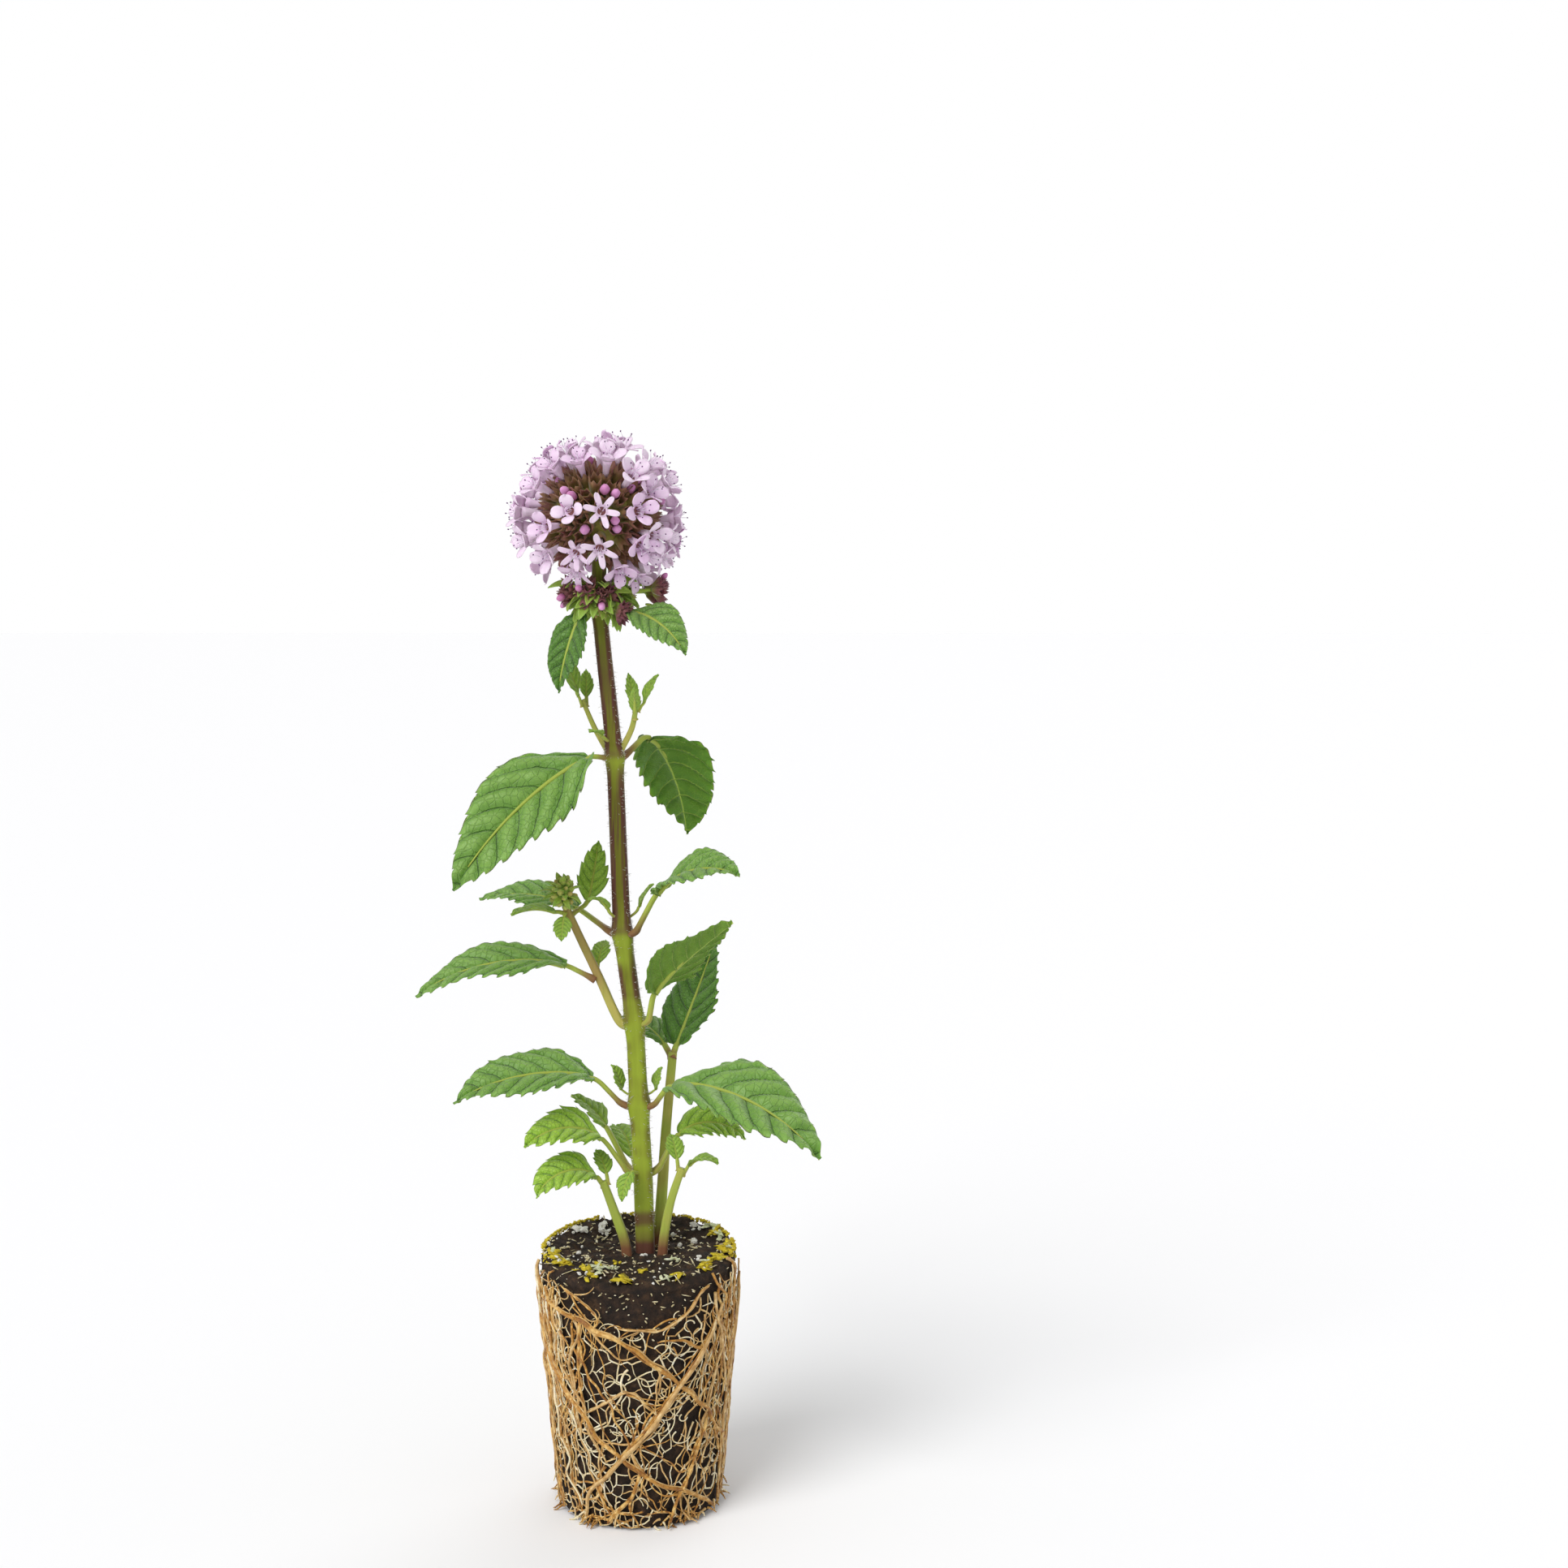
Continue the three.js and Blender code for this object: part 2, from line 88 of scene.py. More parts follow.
# Side shoots: points along the middle, radius at the foot, radius at the tip
SHOOTS = {
    "basal_shoot_left": (
        ((-1.8, -1.3, 46), (-2.6, -1.5, 52), (-4.6, -1.8, 58.2), (-6.6, -2.1, 64)), 1.15, 0.8),
    "basal_shoot_right": (((4.4, -1.3, 46), (5, -1.5, 53), (6.3, -1.8, 59.8), (8.5, -2.1, 66.6)), 1.1, 0.75),
    "tall_shoot": (((3.3, 5, 46), (4.3, 5.7, 60), (5.2, 6.3, 73), (6.5, 7, 87.2)), 1.3, 0.9),
    "axil_shoot_left": (((-5.2, 0.6, 146.6), (-7.6, 0.5, 151), (-9.9, 0.5, 156.4)), 0.6, 0.45),
    "axil_shoot_right": (((-2.8, 0.6, 146.6), (-0.6, 0.4, 151), (0.3, 0.2, 155.4)), 0.65, 0.5),
    "branch": (
        ((-1.6, 0.8, 93.6), (-3.75, 0.4, 95.4), (-7.2, 0, 103.4), (-10.9, -0.5, 111.6), (-13.4, -1, 117.4)),
        1.0, 0.75),
}

# Leaves on the main stem: height of the joint, azimuth, petiole length and elevation, blade length,
# elevation of the blade's rib at its base and tip, blade width, sideways sweep, roll about the rib
STEM_LEAVES = {
    "bract_left": (173.3, 225, 2, -11, 16, -58, -80, 8.5, 0, -15),
    "bract_right": (173.3, -35, 5, 0, 15.5, -4, -60, 9, 7, 35),
    "leaf_4_left": (145.7, 210, 2.6, 5, 37, -25, -56, 17.5, 0, -42),
    "leaf_4_right": (145.7, 45, 6.8, 34, 23, -45, -85, 18, 0, -20),
    "leaf_3_left": (111.9, 150, 8.5, 28, 21, 18, -14, 10, 25, -20),
    "leaf_3_right": (111.9, -35, 10, 58, 21, 46, -17, 13, 0, 25),
    "leaf_2_right": (94.5, -35, 6.5, 78, 22, 46, 38, 13, 25, -26),
    "leaf_1_left": (78.4, 190, 7.8, 48, 28, 14, -30, 14, 6, -24),
    "leaf_1_right": (78.4, -30, 6, 52, 35.5, 9, -46, 19, 4, 18),
    "axil_leaf_3_left": (115.4, 225, 1.5, 70, 6, 62, -10, 3.6, 0, 0),
    "axil_leaf_3_right": (115.2, 10, 1.5, 72, 5.5, 75, 40, 3, 0, 0),
    "axil_leaf_1_left": (80.6, 185, 0.6, 80, 5.5, 84, 55, 4, 0, -35),
    "axil_leaf_1_right": (80.6, -5, 0.6, 80, 4.8, 84, 64, 3.4, 0, 35),
    "axil_leaf_4_left": (149, 235, 1.2, 50, 4, 40, -10, 3.4, 0, 0),
    "basal_leaf_left": (65, 200, 9, 56, 17, 40, -44, 10.5, 0, -30),
    "basal_leaf_left_back": (65, 160, 9.5, 60, 9.5, 55, 20, 8, 0, 0),
    "basal_leaf_right": (65, 20, 8, 60, 15, 36, -52, 9.5, -20, 30),
    "basal_leaf_front": (65.5, 238, 1, 30, 6.5, -30, -86, 4, 0, 0),
    "basal_leaf_back": (62, 115, 5, 62, 12, 55, -15, 6.5, 0, 0),
}

# Leaves at the tips of shoots: foot of the petiole, then the same values
SHOOT_LEAVES = {
    "basal_leaf_left_low": ((-7, -2.1, 64), 205, 1.2, 55, 15, 40, -66, 9.8, 0, -30),
    "basal_leaf_left_low_inner": ((-5.8, -1.8, 64.4), 120, 1, 70, 6, 60, 20, 4, 0, 0),
    "basal_leaf_right_low": ((9.2, -2.2, 66.2), -20, 1.2, 60, 7, 50, -35, 5.5, 0, 0),
    "basal_leaf_right_low_inner": ((7.7, -1.4, 67.1), 110, 1, 70, 6, 62, 25, 4, 0, 0),
    "tall_shoot_leaf": ((6.7, 6.9, 87.2), 50, 1.5, 62, 22, 58, 60, 13, 0, 0),
    "tall_shoot_leaf_back": ((5.7, 7.9, 86.9), 140, 2, 50, 14, 45, -20, 8, 0, 0),
    "axil_shoot_left_leaf": ((-10.2, 0.2, 156.2), 195, 0.8, 72, 10, 74, 64, 4.5, 0, -50),
    "axil_shoot_left_leaf_back": ((-9.2, 1.5, 156.2), 95, 0.6, 70, 6, 68, 50, 3, 0, 0),
    "axil_shoot_right_leaf": ((1.2, 0.1, 155.2), -15, 0.5, 60, 6.5, 72, 50, 3, 0, 50),
    "axil_shoot_right_leaf_front": ((0.1, -1, 153.8), 270, 0.5, 60, 5, 78, 64, 2.6, 0, 0),
    "axil_shoot_right_leaf_back": ((-0.2, 0.9, 155.2), 120, 0.5, 72, 6, 76, 62, 3, 0, 0),
    "branch_leaf": ((-8.9, -0.4, 103.6), 185, 5, 28, 30, 14, -35, 12, 10, -22),
    "branch_leaf_inner": ((-7.6, 1.8, 104.8), 80, 1, 60, 7, 50, 10, 4, 0, 0),
    "branch_bract_left": ((-14.4, -1.2, 116.2), 190, 0.6, 15, 9, 20, -25, 7, 0, 0),
    "branch_bract_right": ((-12, -0.1, 115.7), 50, 4.2, 20, 12, 72, 80, 6.5, 0, 30),
    "branch_bract_front": ((-13.4, -2.3, 115.8), 262, 0.6, -20, 5, -50, -70, 4, 0, 0),
}
LARGE_LEAF = 12.5  # blades longer than this are modelled finer, and all but the basal ones are a darker green
# Leaves made the darkest green as painted shade of neighbouring plants that are not built
PAINTED_SHADE_LEAVES = ("leaf_4_right", "tall_shoot_leaf", "bract_left")  # the darkest green
VEIN_PAIRS = 6.3
VEIN_SLANT, VEIN_CURVE = 0.55, 3.4  # how far a side vein runs forward on its way to the margin
WIDEST = 0.38  # share of the blade's length where it is widest

# Stalked buds of the whorl: azimuth, elevation, reach
WHORL_BUDS = [
    (14, 1, 13), (52, -10, 9.5), (85, 0, 9), (118, -8, 9), (152, 0, 9), (186, 0, 8.5),
    (212, 4, 9), (250, 2, 9), (284, -4, 8.5), (306, -26, 11), (346, 4, 14.5),
]
BUDS_IN_CLUSTER = 9
LOW_BUDS, LOW_BUD_STEP = 46, 137.5  # small buds that fill the ring, and the degrees between them

HEAD_FLOWERS, BRANCH_BUDS, HAIRS = 190, 32, 1300  # how many there are
# Open florets that face forward on the head: across and up, in shares of its radius; the first are starry
FRONT_FLORETS = (
    (0.12, 0.13), (0.08, -0.4), (-0.26, -0.5), (-0.3, 0.1), (-0.6, -0.14), (0.55, 0.13), (0.6, -0.37),
    (-0.22, 0.78), (0.16, 0.8), (-0.52, 0.7), (-0.72, 0.44), (0.45, 0.58), (0.7, 0.38), (-0.62, -0.52),
    (0.3, -0.72),
)
FRONT_STARS = 3
# Rosy buds that face forward between them
FRONT_BUDS = (
    (-0.33, 0.38), (0.15, 0.47), (0.3, 0.4), (0.34, -0.18), (-0.44, 0.46), (-0.12, -0.16), (0.3, -0.02),
)
THROAT = 7.0  # height of the corolla's mouth above the calyx's foot
STAMEN_TIPS = ((1.4, 0.6, 9.3), (0.5, -1.3, 9.0), (-1.1, 0.8, 8.8), (-0.3, -0.4, 9.6))
PETAL_WALL, BRACT_WALL = 0.12, 0.15

# Thick roots on the front of the plug: angle round it in degrees (270 faces front), height; then their radius
THICK_ROOTS = [
    ([(198, 43), (226, 42), (248, 40), (268, 37), (284, 33), (299, 29), (314, 24), (329, 19),
      (346, 14)], 0.6),
    ([(324, 40), (312, 34), (299, 29), (287, 24), (276, 19), (263, 15), (252, 11), (238, 7), (232, 1)], 0.66),
    ([(184, 42), (197, 36), (209, 31), (221, 27), (237, 22), (248, 18), (261, 15), (274, 12), (288, 9),
      (305, 7), (322, 4), (338, 1)], 0.58),
    ([(186, 47), (187, 42), (194, 38), (201, 33), (203, 27), (200, 20), (198, 12), (201, 6), (206, 1)], 0.52),
    ([(356, 46), (355, 40), (348, 32), (344, 25), (341, 17), (341, 10), (342, 2)], 0.52),
    ([(236, 42), (237, 37), (235, 31), (236, 26), (238, 22)], 0.42),
    ([(322, 22), (316, 17), (311, 13), (306, 9), (298, 5), (294, 1)], 0.46),
    ([(239, 23), (254, 26), (264, 28), (273, 27), (284, 23)], 0.36),
    ([(318, 47), (312, 46), (304, 43), (294, 41), (284, 40), (271, 40), (260, 41)], 0.34),
    ([(222, 47), (231, 46), (237, 45), (245, 43), (248, 41), (242, 39)], 0.3),
    ([(261, 15), (273, 19), (284, 23), (296, 27)], 0.4),
    ([(274, 12), (268, 7), (258, 4), (250, 1)], 0.42),
]
# How many there are of each kind of fine root, and where round the plug bundles hang from its rim
BACK_ROOTS, WANDERING_ROOTS, FOOT_ROOTS, NET_CELLS, CURLS, ROOT_TIPS = 15, 38, 38, 650, 310, 110
BUNDLES, BUNDLE_ROOTS = (202, 212, 332, 342, 90), 21
TIP_CLUSTERS = (232, 291, 45, 130)  # degrees round the foot
ROOT_STEP = 0.7  # length of one step of a root
ROOT_TOP = 49.5  # the highest that a root climbs

# Moss mats on the plug's top: distance from its axis, degrees round it, flakes, longest half length
MOSS_MATS = (
    (16.4, 194, 14, 1.8), (16.0, 211, 14, 1.8), (14.6, 226, 8, 1.6), (11.0, 232, 3, 1.3), (8.0, 244, 3, 1.1),
    (16.4, 240, 5, 1.4), (16.0, 266, 5, 2.3), (16.4, 259, 3, 1.8), (12.4, 279, 3, 1.5), (15.9, 300, 6, 1.5),
    (16.2, 324, 12, 1.7), (16.0, 343, 9, 1.8), (16.8, 358, 12, 1.8), (17.0, 30, 8, 1.6), (18.2, 62, 3, 1.1),
)
# Bleached flakes and perlite: distance, degrees, half length
PALE_FLAKES = (
    (16.4, 190, 1.5), (15.0, 208, 1.3), (13.0, 232, 1.4), (14.6, 238, 1.1), (16.2, 292, 1.5),
    (15.6, 330, 1.1), (17.6, 358, 1.6), (16.6, 20, 1.3), (16.8, 38, 1.5), (12.4, 246, 0.9), (8.8, 318, 0.9),
    (10.4, 324, 0.8), (11.8, 250, 0.7),
)
PERLITE_GRAINS = (
    (16.4, 141, 1.4), (15.4, 137, 0.9), (14.4, 125, 1.6), (13.2, 120, 0.9), (18.2, 62, 1.1), (15.7, 47, 1.3),
    (11.5, 30, 1.1), (2.6, 300, 0.9), (6.6, 290, 0.5), (12.8, 60, 0.7),
)
RIM_MOSS, DRY_BITS, PERLITE_DUST, FIBRE_BITS = 1100, 420, 60, 460  # the most of each that are scattered

# Camera and surround, in metres and degrees
CAMERA_PLACE = (0.02808, -0.45661, 0.19464)
CAMERA_DROP = 6.767  # how far it looks down
SENSOR, LENS_PER_SENSOR = 36.0, 3000 / 1932
FLOOR_HALF = 3.0


# ---------------------------------------------------------------- materials

SMOOTH = {"interpolation_type": "SMOOTHSTEP"}
COLOUR = {"data_type": "RGBA", "out": 2}  # a Mix node has its colours at inputs 6 and 7


def paint(code):
    """A linear colour from an sRGB hex value."""
    channels = [int(code[i:i + 2], 16) / 255 for i in (1, 3, 5)]
    return (*[c / 12.92 if c <= 0.04045 else ((c + 0.055) / 1.055) ** 2.4 for c in channels], 1.0)


def add(holder, kind, *values, out=0, **settings):
    """Adds a node and gives one of its outputs.

    Each value, or the output that feeds it, goes to the next input; a dict names or numbers its inputs.
    """
    tree = holder.node_tree
    node = tree.nodes.new("ShaderNode" + kind)
    for name, value in settings.items():
        setattr(node, name, value)
    inputs = values[0] if values and isinstance(values[0], dict) else dict(enumerate(values))
    for socket, value in inputs.items():
        if isinstance(value, bpy.types.NodeSocket):
            tree.links.new(value, node.inputs[socket])
        else:
            node.inputs[socket].default_value = value
    return node.outputs[out] if node.outputs else node


def new_material(name, codes):
    """A material without nodes, and its linear colours."""
    material = bpy.data.materials.new(name)
    material.use_nodes = True
    material.node_tree.nodes.clear()
    return material, *map(paint, codes.split())


def surface(m, colour, layers, relief, roughness, ior, glow, sheen, finish=None):
    """Closes a material: colours laid over the first one by their factors, then relief and the shader.

    `relief` is its height, depth in mm and strength; `glow` the share, colour and depth in mm of the light
    that passes under the skin; `sheen` the share and roughness of its down; `finish` any other values.
    """
    for factor, over in layers:
        colour = add(m, "Mix", {0: factor, 6: colour, 7: over}, **COLOUR)
    bump = add(m, "Bump", {"Height": relief[0], "Distance": relief[1] / 1000, "Strength": relief[2]})
    shader = add(m, "BsdfPrincipled", {
        "Base Color": colour, "Normal": bump, "Roughness": roughness, "IOR": ior,
        "Subsurface Weight": glow[0], "Subsurface Radius": glow[1], "Subsurface Scale": glow[2] / 1000,
        "Sheen Weight": sheen[0], "Sheen Roughness": sheen[1], **(finish or {})})
    add(m, "OutputMaterial", shader)
    return m


def leaf_skin(name, codes, upper):
    """Mint leaf: matt, quilted between sunken veins; the underside is paler with raised veins.

    The leaf's UV map runs across the blade, 0.5 on the rib and a quarter each way at its widest, and
    from its base at 0 to its tip at 1.
    """
    m, base, light, dark, vein, midrib = new_material(name, codes)
    place = add(m, "TexCoord", out="Object")
    flat = add(m, "UVMap", uv_map="blade")
    u, along = [add(m, "SeparateXYZ", flat, out=axis) for axis in (0, 1)]
    wander, patches, speckle, grain = [
        add(m, "TexNoise", {"Vector": place, "Scale": 1000 / size, "Detail": detail, "Roughness": 0.55})
        for size, detail in ((4.0, 3.0), (5.0, 3.0), (1.1, 3.0), (0.35, 2.0))]
    across = add(m, "Math", add(m, "Math", u, 0.5, operation="SUBTRACT"), operation="ABSOLUTE")

    # side veins: lines that leave the rib in pairs, bend forward and wander a little
    bend = add(m, "Math", across, -VEIN_CURVE, -VEIN_SLANT, operation="MULTIPLY_ADD")
    course = add(m, "Math", across, bend, along, operation="MULTIPLY_ADD")
    course = add(m, "Math", wander, 0.04, course, operation="MULTIPLY_ADD")
    phase = add(m, "Math", course, VEIN_PAIRS, 0.5 - 0.02 * VEIN_PAIRS, operation="MULTIPLY_ADD")
    off_vein = add(m, "Math", phase, 0.5, operation="PINGPONG")
    side_vein = add(m, "MapRange", off_vein, 0.463 if upper else 0.43, 0.498, **SMOOTH)

    rib_width = add(m, "Math", along, -0.0088, 0.01012, operation="MULTIPLY_ADD")
    rib = add(m, "MapRange", add(m, "Math", across, rib_width, operation="DIVIDE"), 1.2, 0.5, **SMOOTH)
    cells = add(m, "TexVoronoi", {"Vector": flat, "Scale": 26.0}, out="Distance", feature="DISTANCE_TO_EDGE")
    fine_vein = add(m, "MapRange", cells, 0.09, 0.0, **SMOOTH)
    # Lighter in the middle between side veins: painted highlight on each bulge, laid with the random patches
    # below
    quilt = add(m, "MapRange", off_vein, 0.42, 0.05, 0.0, 0.45, **SMOOTH)
    yellowish = add(m, "MapRange", along, 0.52, 0.12, **SMOOTH) if upper else 1.0
    layers = [
        (add(m, "Math", patches, 0.5, quilt, operation="MULTIPLY_ADD"), light),
        (add(m, "MapRange", speckle, 0.45, 0.7, 0.0, 0.18, **SMOOTH), dark),
        # Upper side: the darker vein colour is painted shade in the sunken veins and rib; underside: paler
        # raised veins.
        (add(m, "Math", fine_vein, 0.22, operation="MULTIPLY"), vein),
        (add(m, "Math", side_vein, 0.58 if upper else 0.85, operation="MULTIPLY"), vein),
        (rib, add(m, "Mix", {0: yellowish, 6: vein, 7: midrib}, **COLOUR)),
    ]
    sunken = -1.0 if upper else 0.7
    height = 0.0
    for part, share in ((side_vein, sunken), (fine_vein, 0.3 * sunken), (grain, 0.4)):
        height = add(m, "Math", part, share, height, operation="MULTIPLY_ADD")
    return surface(m, base, layers, (height, 0.3, 0.9), 0.42 if upper else 0.6, 1.42,
                   (0.2, (0.5, 0.8, 0.12), 0.8), (0.22 if upper else 0.08, 0.4))


def stem_skin(name, codes):
    """Square mint stem, downy: olive in front and behind, purple-brown at the corners and sides, and fresh
    green near its joints.

    The UV map runs once round the stem and up it, in metres of height.
    """
    m, ridge, flank, fresh, blush = new_material(name, codes)
    place = add(m, "TexCoord", out="Object")
    round_stem = add(m, "SeparateXYZ", add(m, "UVMap", uv_map="stem"))
    brown = 0.0
    for repeats, low, high in ((4, 0.55, -0.9), (2, 0.3, -0.7)):  # the four corners, then the two sides
        angle = add(m, "Math", round_stem, repeats * TAU, operation="MULTIPLY")
        wave = add(m, "MapRange", add(m, "Math", angle, operation="COSINE"), low, high, **SMOOTH)
        brown = add(m, "Math", brown, wave, operation="MAXIMUM")
    # fibres 0.4 mm wide that run up the stem
    drawn_out = add(m, "Mapping", {"Vector": place, "Scale": (2600.0, 2600.0, 90.0)})
    streaks = add(m, "TexNoise", {"Vector": drawn_out, "Scale": 1.0, "Detail": 3.0})
    fresh_here, blush_here = [
        add(m, "Attribute", out="Fac", attribute_name=kind) for kind in ("fresh", "blush")]
    ripe = add(m, "Math", brown, 0.26, streaks, operation="MULTIPLY_ADD")
    fading = add(m, "Math", brown, 1.6, 1.0, operation="MULTIPLY_ADD")
    layers = [
        (add(m, "MapRange", ripe, 0.48, 0.74, **SMOOTH), ridge),
        (add(m, "Math", fresh_here, fading, operation="POWER"), fresh),
        (blush_here, blush),
    ]
    return surface(m, flank, layers, (streaks, 0.1, 0.6), 0.5, 1.4, (0.1, (0.6, 0.8, 0.2), 0.6), (0.4, 0.3),
                   {"Specular IOR Level": 0.35, "Sheen Tint": (1.0, 0.92, 0.9, 1.0)})


def floret_skin(name, codes, low, high, roughness, sheen):
    """A flower part: one colour at its foot turns to another between two shares of its length, and some of
    it leans to a third.

    The shape carries its share of length as the attribute "reach" and its own random tone as "tone".
    """
    m, foot, outer, spot = new_material(name, codes)
    place = add(m, "TexCoord", out="Object")
    reach, tone = [add(m, "Attribute", out="Fac", attribute_name=kind) for kind in ("reach", "tone")]
    patches, grain = [
        add(m, "TexNoise", {"Vector": place, "Scale": 1000 / size, "Detail": 3.0, "Roughness": 0.55})
        for size in (0.9, 0.3)]
    layers = [
        (add(m, "Math", tone, 0.6, operation="MULTIPLY"), spot),
        (add(m, "MapRange", patches, 0.5, 0.75, 0.0, 0.3, **SMOOTH), spot),
        (add(m, "MapRange", reach, high, low, **SMOOTH), foot),
    ]
    glow = (0.3, (0.9, 0.6, 0.9), 0.6)
    return surface(m, outer, layers, (grain, 0.08, 0.5), roughness, 1.4, glow, (sheen, 0.5))


def matter(name, codes, size, roughness, bump_mm, sheen=0.0, glow=0.0, fibres=0):
    """Soil, roots, moss and mineral bits: three colours mottled at `size` mm, and fibres along a root."""
    m, low, middle, high = new_material(name, codes)
    place = add(m, "TexCoord", out="Object")
    lumps, height, sway = [
        add(m, "TexNoise", {"Vector": place, "Scale": 1000 / grain, "Detail": detail, "Roughness": rough})
        for grain, detail, rough in ((size, 4.0, 0.65), (size / 4, 4.0, 0.55), (2.5, 3.0, 0.55))]
    if fibres:  # lines along the root, from the UV map that runs round it
        round_root = add(m, "SeparateXYZ", add(m, "UVMap", uv_map="UVMap"))
        turn = add(m, "Math", round_root, fibres * TAU, operation="MULTIPLY")
        turn = add(m, "Math", sway, 7.0, turn, operation="MULTIPLY_ADD")
        line = add(m, "Math", turn, operation="COSINE")
        lumps = add(m, "Math", line, 0.1, lumps, operation="MULTIPLY_ADD")
        height = add(m, "Math", line, 0.5, height, operation="MULTIPLY_ADD")
    layers = [
        (add(m, "MapRange", lumps, 0.30, 0.52, **SMOOTH), middle),
        (add(m, "MapRange", lumps, 0.50, 0.68, **SMOOTH), high),
    ]
    return surface(m, low, layers, (height, bump_mm, 0.9), roughness, 1.45,
                   (glow, (1.0, 0.7, 0.4), 0.6), (sheen, 0.5))


# Leaf skins, upper side and underside: thin, waxy under fine down, so they shine softly and never mirror, and
# light comes through them yellow-green. Colours: base, light, dark, veins, midrib. The light colour also
# makes a painted highlight on the bulges between the side veins; on the upper side the vein colour is darker,
# painted shade in the sunken veins and in the rib's groove beyond its yellow foot.
GROWN_LEAF = [
    leaf_skin("mint leaf, upper side", "#628E35 #86AC52 #4C7429 #3A681E #A3BA4C", True),
    leaf_skin("mint leaf, underside", "#5E8426 #769834 #4E761F #8FAC4A #A9BE5C", False)]
YOUNG_LEAF = [
    leaf_skin("young mint leaf, upper side", "#8AB230 #A8C94A #6C9628 #6A9834 #BCD062", True),
    leaf_skin("young mint leaf, underside", "#8AAE3C #A2C04E #789C34 #B4CA6E #CAD984", False)]
# The leaf skins darker again: painted shade for leaves that stand in other plants' shadow.
PAINTED_SHADE_LEAF = [
    leaf_skin("mint leaf with painted shade, upper side", "#46701C #5F8C30 #3A6016 #28500F #86A43A", True),
    leaf_skin("mint leaf with painted shade, underside", "#4A7416 #5E8820 #3E6610 #86A63C #9CB64C", False)]
# Stem skins: smooth green rind ripening to brown in streaks, with short down that pales its edges.
# Colours: ripe ridges, flanks, fresh zones, blush at the joints.
STEM_SKIN = stem_skin("mint stem, square and ripening", "#5A362A #6A6814 #90A02C #5E3230")
SHOOT_SKIN = stem_skin("mint shoot, fresh", "#B4A958 #98A040 #A2B04A #7C453A")
# Flower skins. Colours: foot, outer part, spots.
# Petals are thin and full of water, so they glow at the edges and have hardly any gloss.
# Its dark foot colour lies in the throat and on the disc that closes it: painted shade inside the tube.
PETAL = floret_skin("mint corolla, pale lilac", "#94645C #F4DCF2 #E3BAE2", 0.05, 0.6, 0.5, 0.2)
ROSY_BUD = floret_skin("mint bud, rosy", "#9C4E78 #DA9CCC #B4508C", 0.3, 0.8, 0.5, 0.15)
# Calyces and bracts are leaf tissue: duller, with down that greys them.
CALYX = floret_skin("mint calyx, brown over olive", "#96923E #82633C #86484E", 0.2, 0.95, 0.55, 0.2)
DARK_CALYX = floret_skin("mint calyx, maroon over olive", "#949A3C #7E4E48 #6A2A42", 0.15, 0.8, 0.5, 0.2)
GREEN_CALYX = floret_skin("young bud, green and straw", "#86A83A #B0BE5C #A8804C", 0.1, 0.8, 0.6, 0.15)
BRACT = floret_skin("mint bract, fresh green", "#A4BC44 #8AAE3E #96A844", 0.0, 0.8, 0.5, 0.15)
# Threads and hairs are clear and catch the light; anthers are dull and powdery.
FILAMENT = floret_skin("stamen thread, white", "#EBDDF0 #F4EAF7 #EBDDF0", 0.0, 1.0, 0.5, 0.0)
HAIR = floret_skin("stem hair, silvery", "#D9D6C4 #F2F0E8 #E4E0CE", 0.0, 1.0, 0.4, 0.3)
ANTHER = floret_skin("anther, dark purple", "#5B2B63 #4A2352 #3A2038", 0.0, 1.0, 0.6, 0.0)
# Moist peat swallows light between its crumbs.
PEAT = matter("peat, moist and crumbly", "#130C06 #291B10 #45311F", 1.6, 0.9, 0.35)
# Roots have a smooth wet skin: old ones are woody, lined and tan, young ones milky.
OLD_ROOT = matter("old root, golden tan", "#865314 #B98433 #E0B970", 1.5, 0.42, 0.14, 0.1, 0.1, fibres=5)
ROOT = matter("root, straw", "#A0763A #C8A266 #E4C892", 1.8, 0.46, 0.04, 0.1, 0.2)
YOUNG_ROOT = matter("young root, cream", "#CCB280 #E6D5AE #F6ECD2", 1.6, 0.45, 0.03, 0.1, 0.3)
# Perlite is foamed glass, chalky and matt; moss and dry fibre scatter light from many small leaves and ends.
PERLITE = matter("perlite, chalky white", "#C9C6BE #E4E1DA #F6F5F1", 0.8, 0.85, 0.12)
MOSS = matter("moss crust, yellow-green", "#8F7C14 #C6B022 #E2D23C", 1.1, 0.8, 0.1)
PALE_MOSS = matter("moss crust, bleached", "#9CA368 #C8CCA6 #E6E6D4", 0.9, 0.8, 0.1, 0.2)
DRY_MOSS = matter("dry moss and fibre, straw white", "#8E7C4E #CDBF92 #EEE7D0", 1.0, 0.8, 0.1, 0.2)


# ---------------------------------------------------------------- mesh helpers

def smooth_step(value):
    value = min(1.0, max(0.0, value))
    return value * value * (3 - 2 * value)


def waver(x, y, z):
    """Smooth noise from -1 to 1."""
    return noise.noise(Vector((x, y, z)))


def shake(amount):
    return Vector([rng.uniform(-amount, amount) for _ in range(3)])


def polar(r, angle, z):
    """The point at a distance from the upright axis, an angle round it in radians and a height."""
    return Vector((r * math.cos(angle), r * math.sin(angle), z))


def heading(elevation, azimuth):
    e = math.radians(elevation)
    return polar(math.cos(e), math.radians(azimuth), math.sin(e))


def placed(name, data):
    thing = bpy.data.objects.new(name, data)
    bpy.context.scene.collection.objects.link(thing)
    return thing


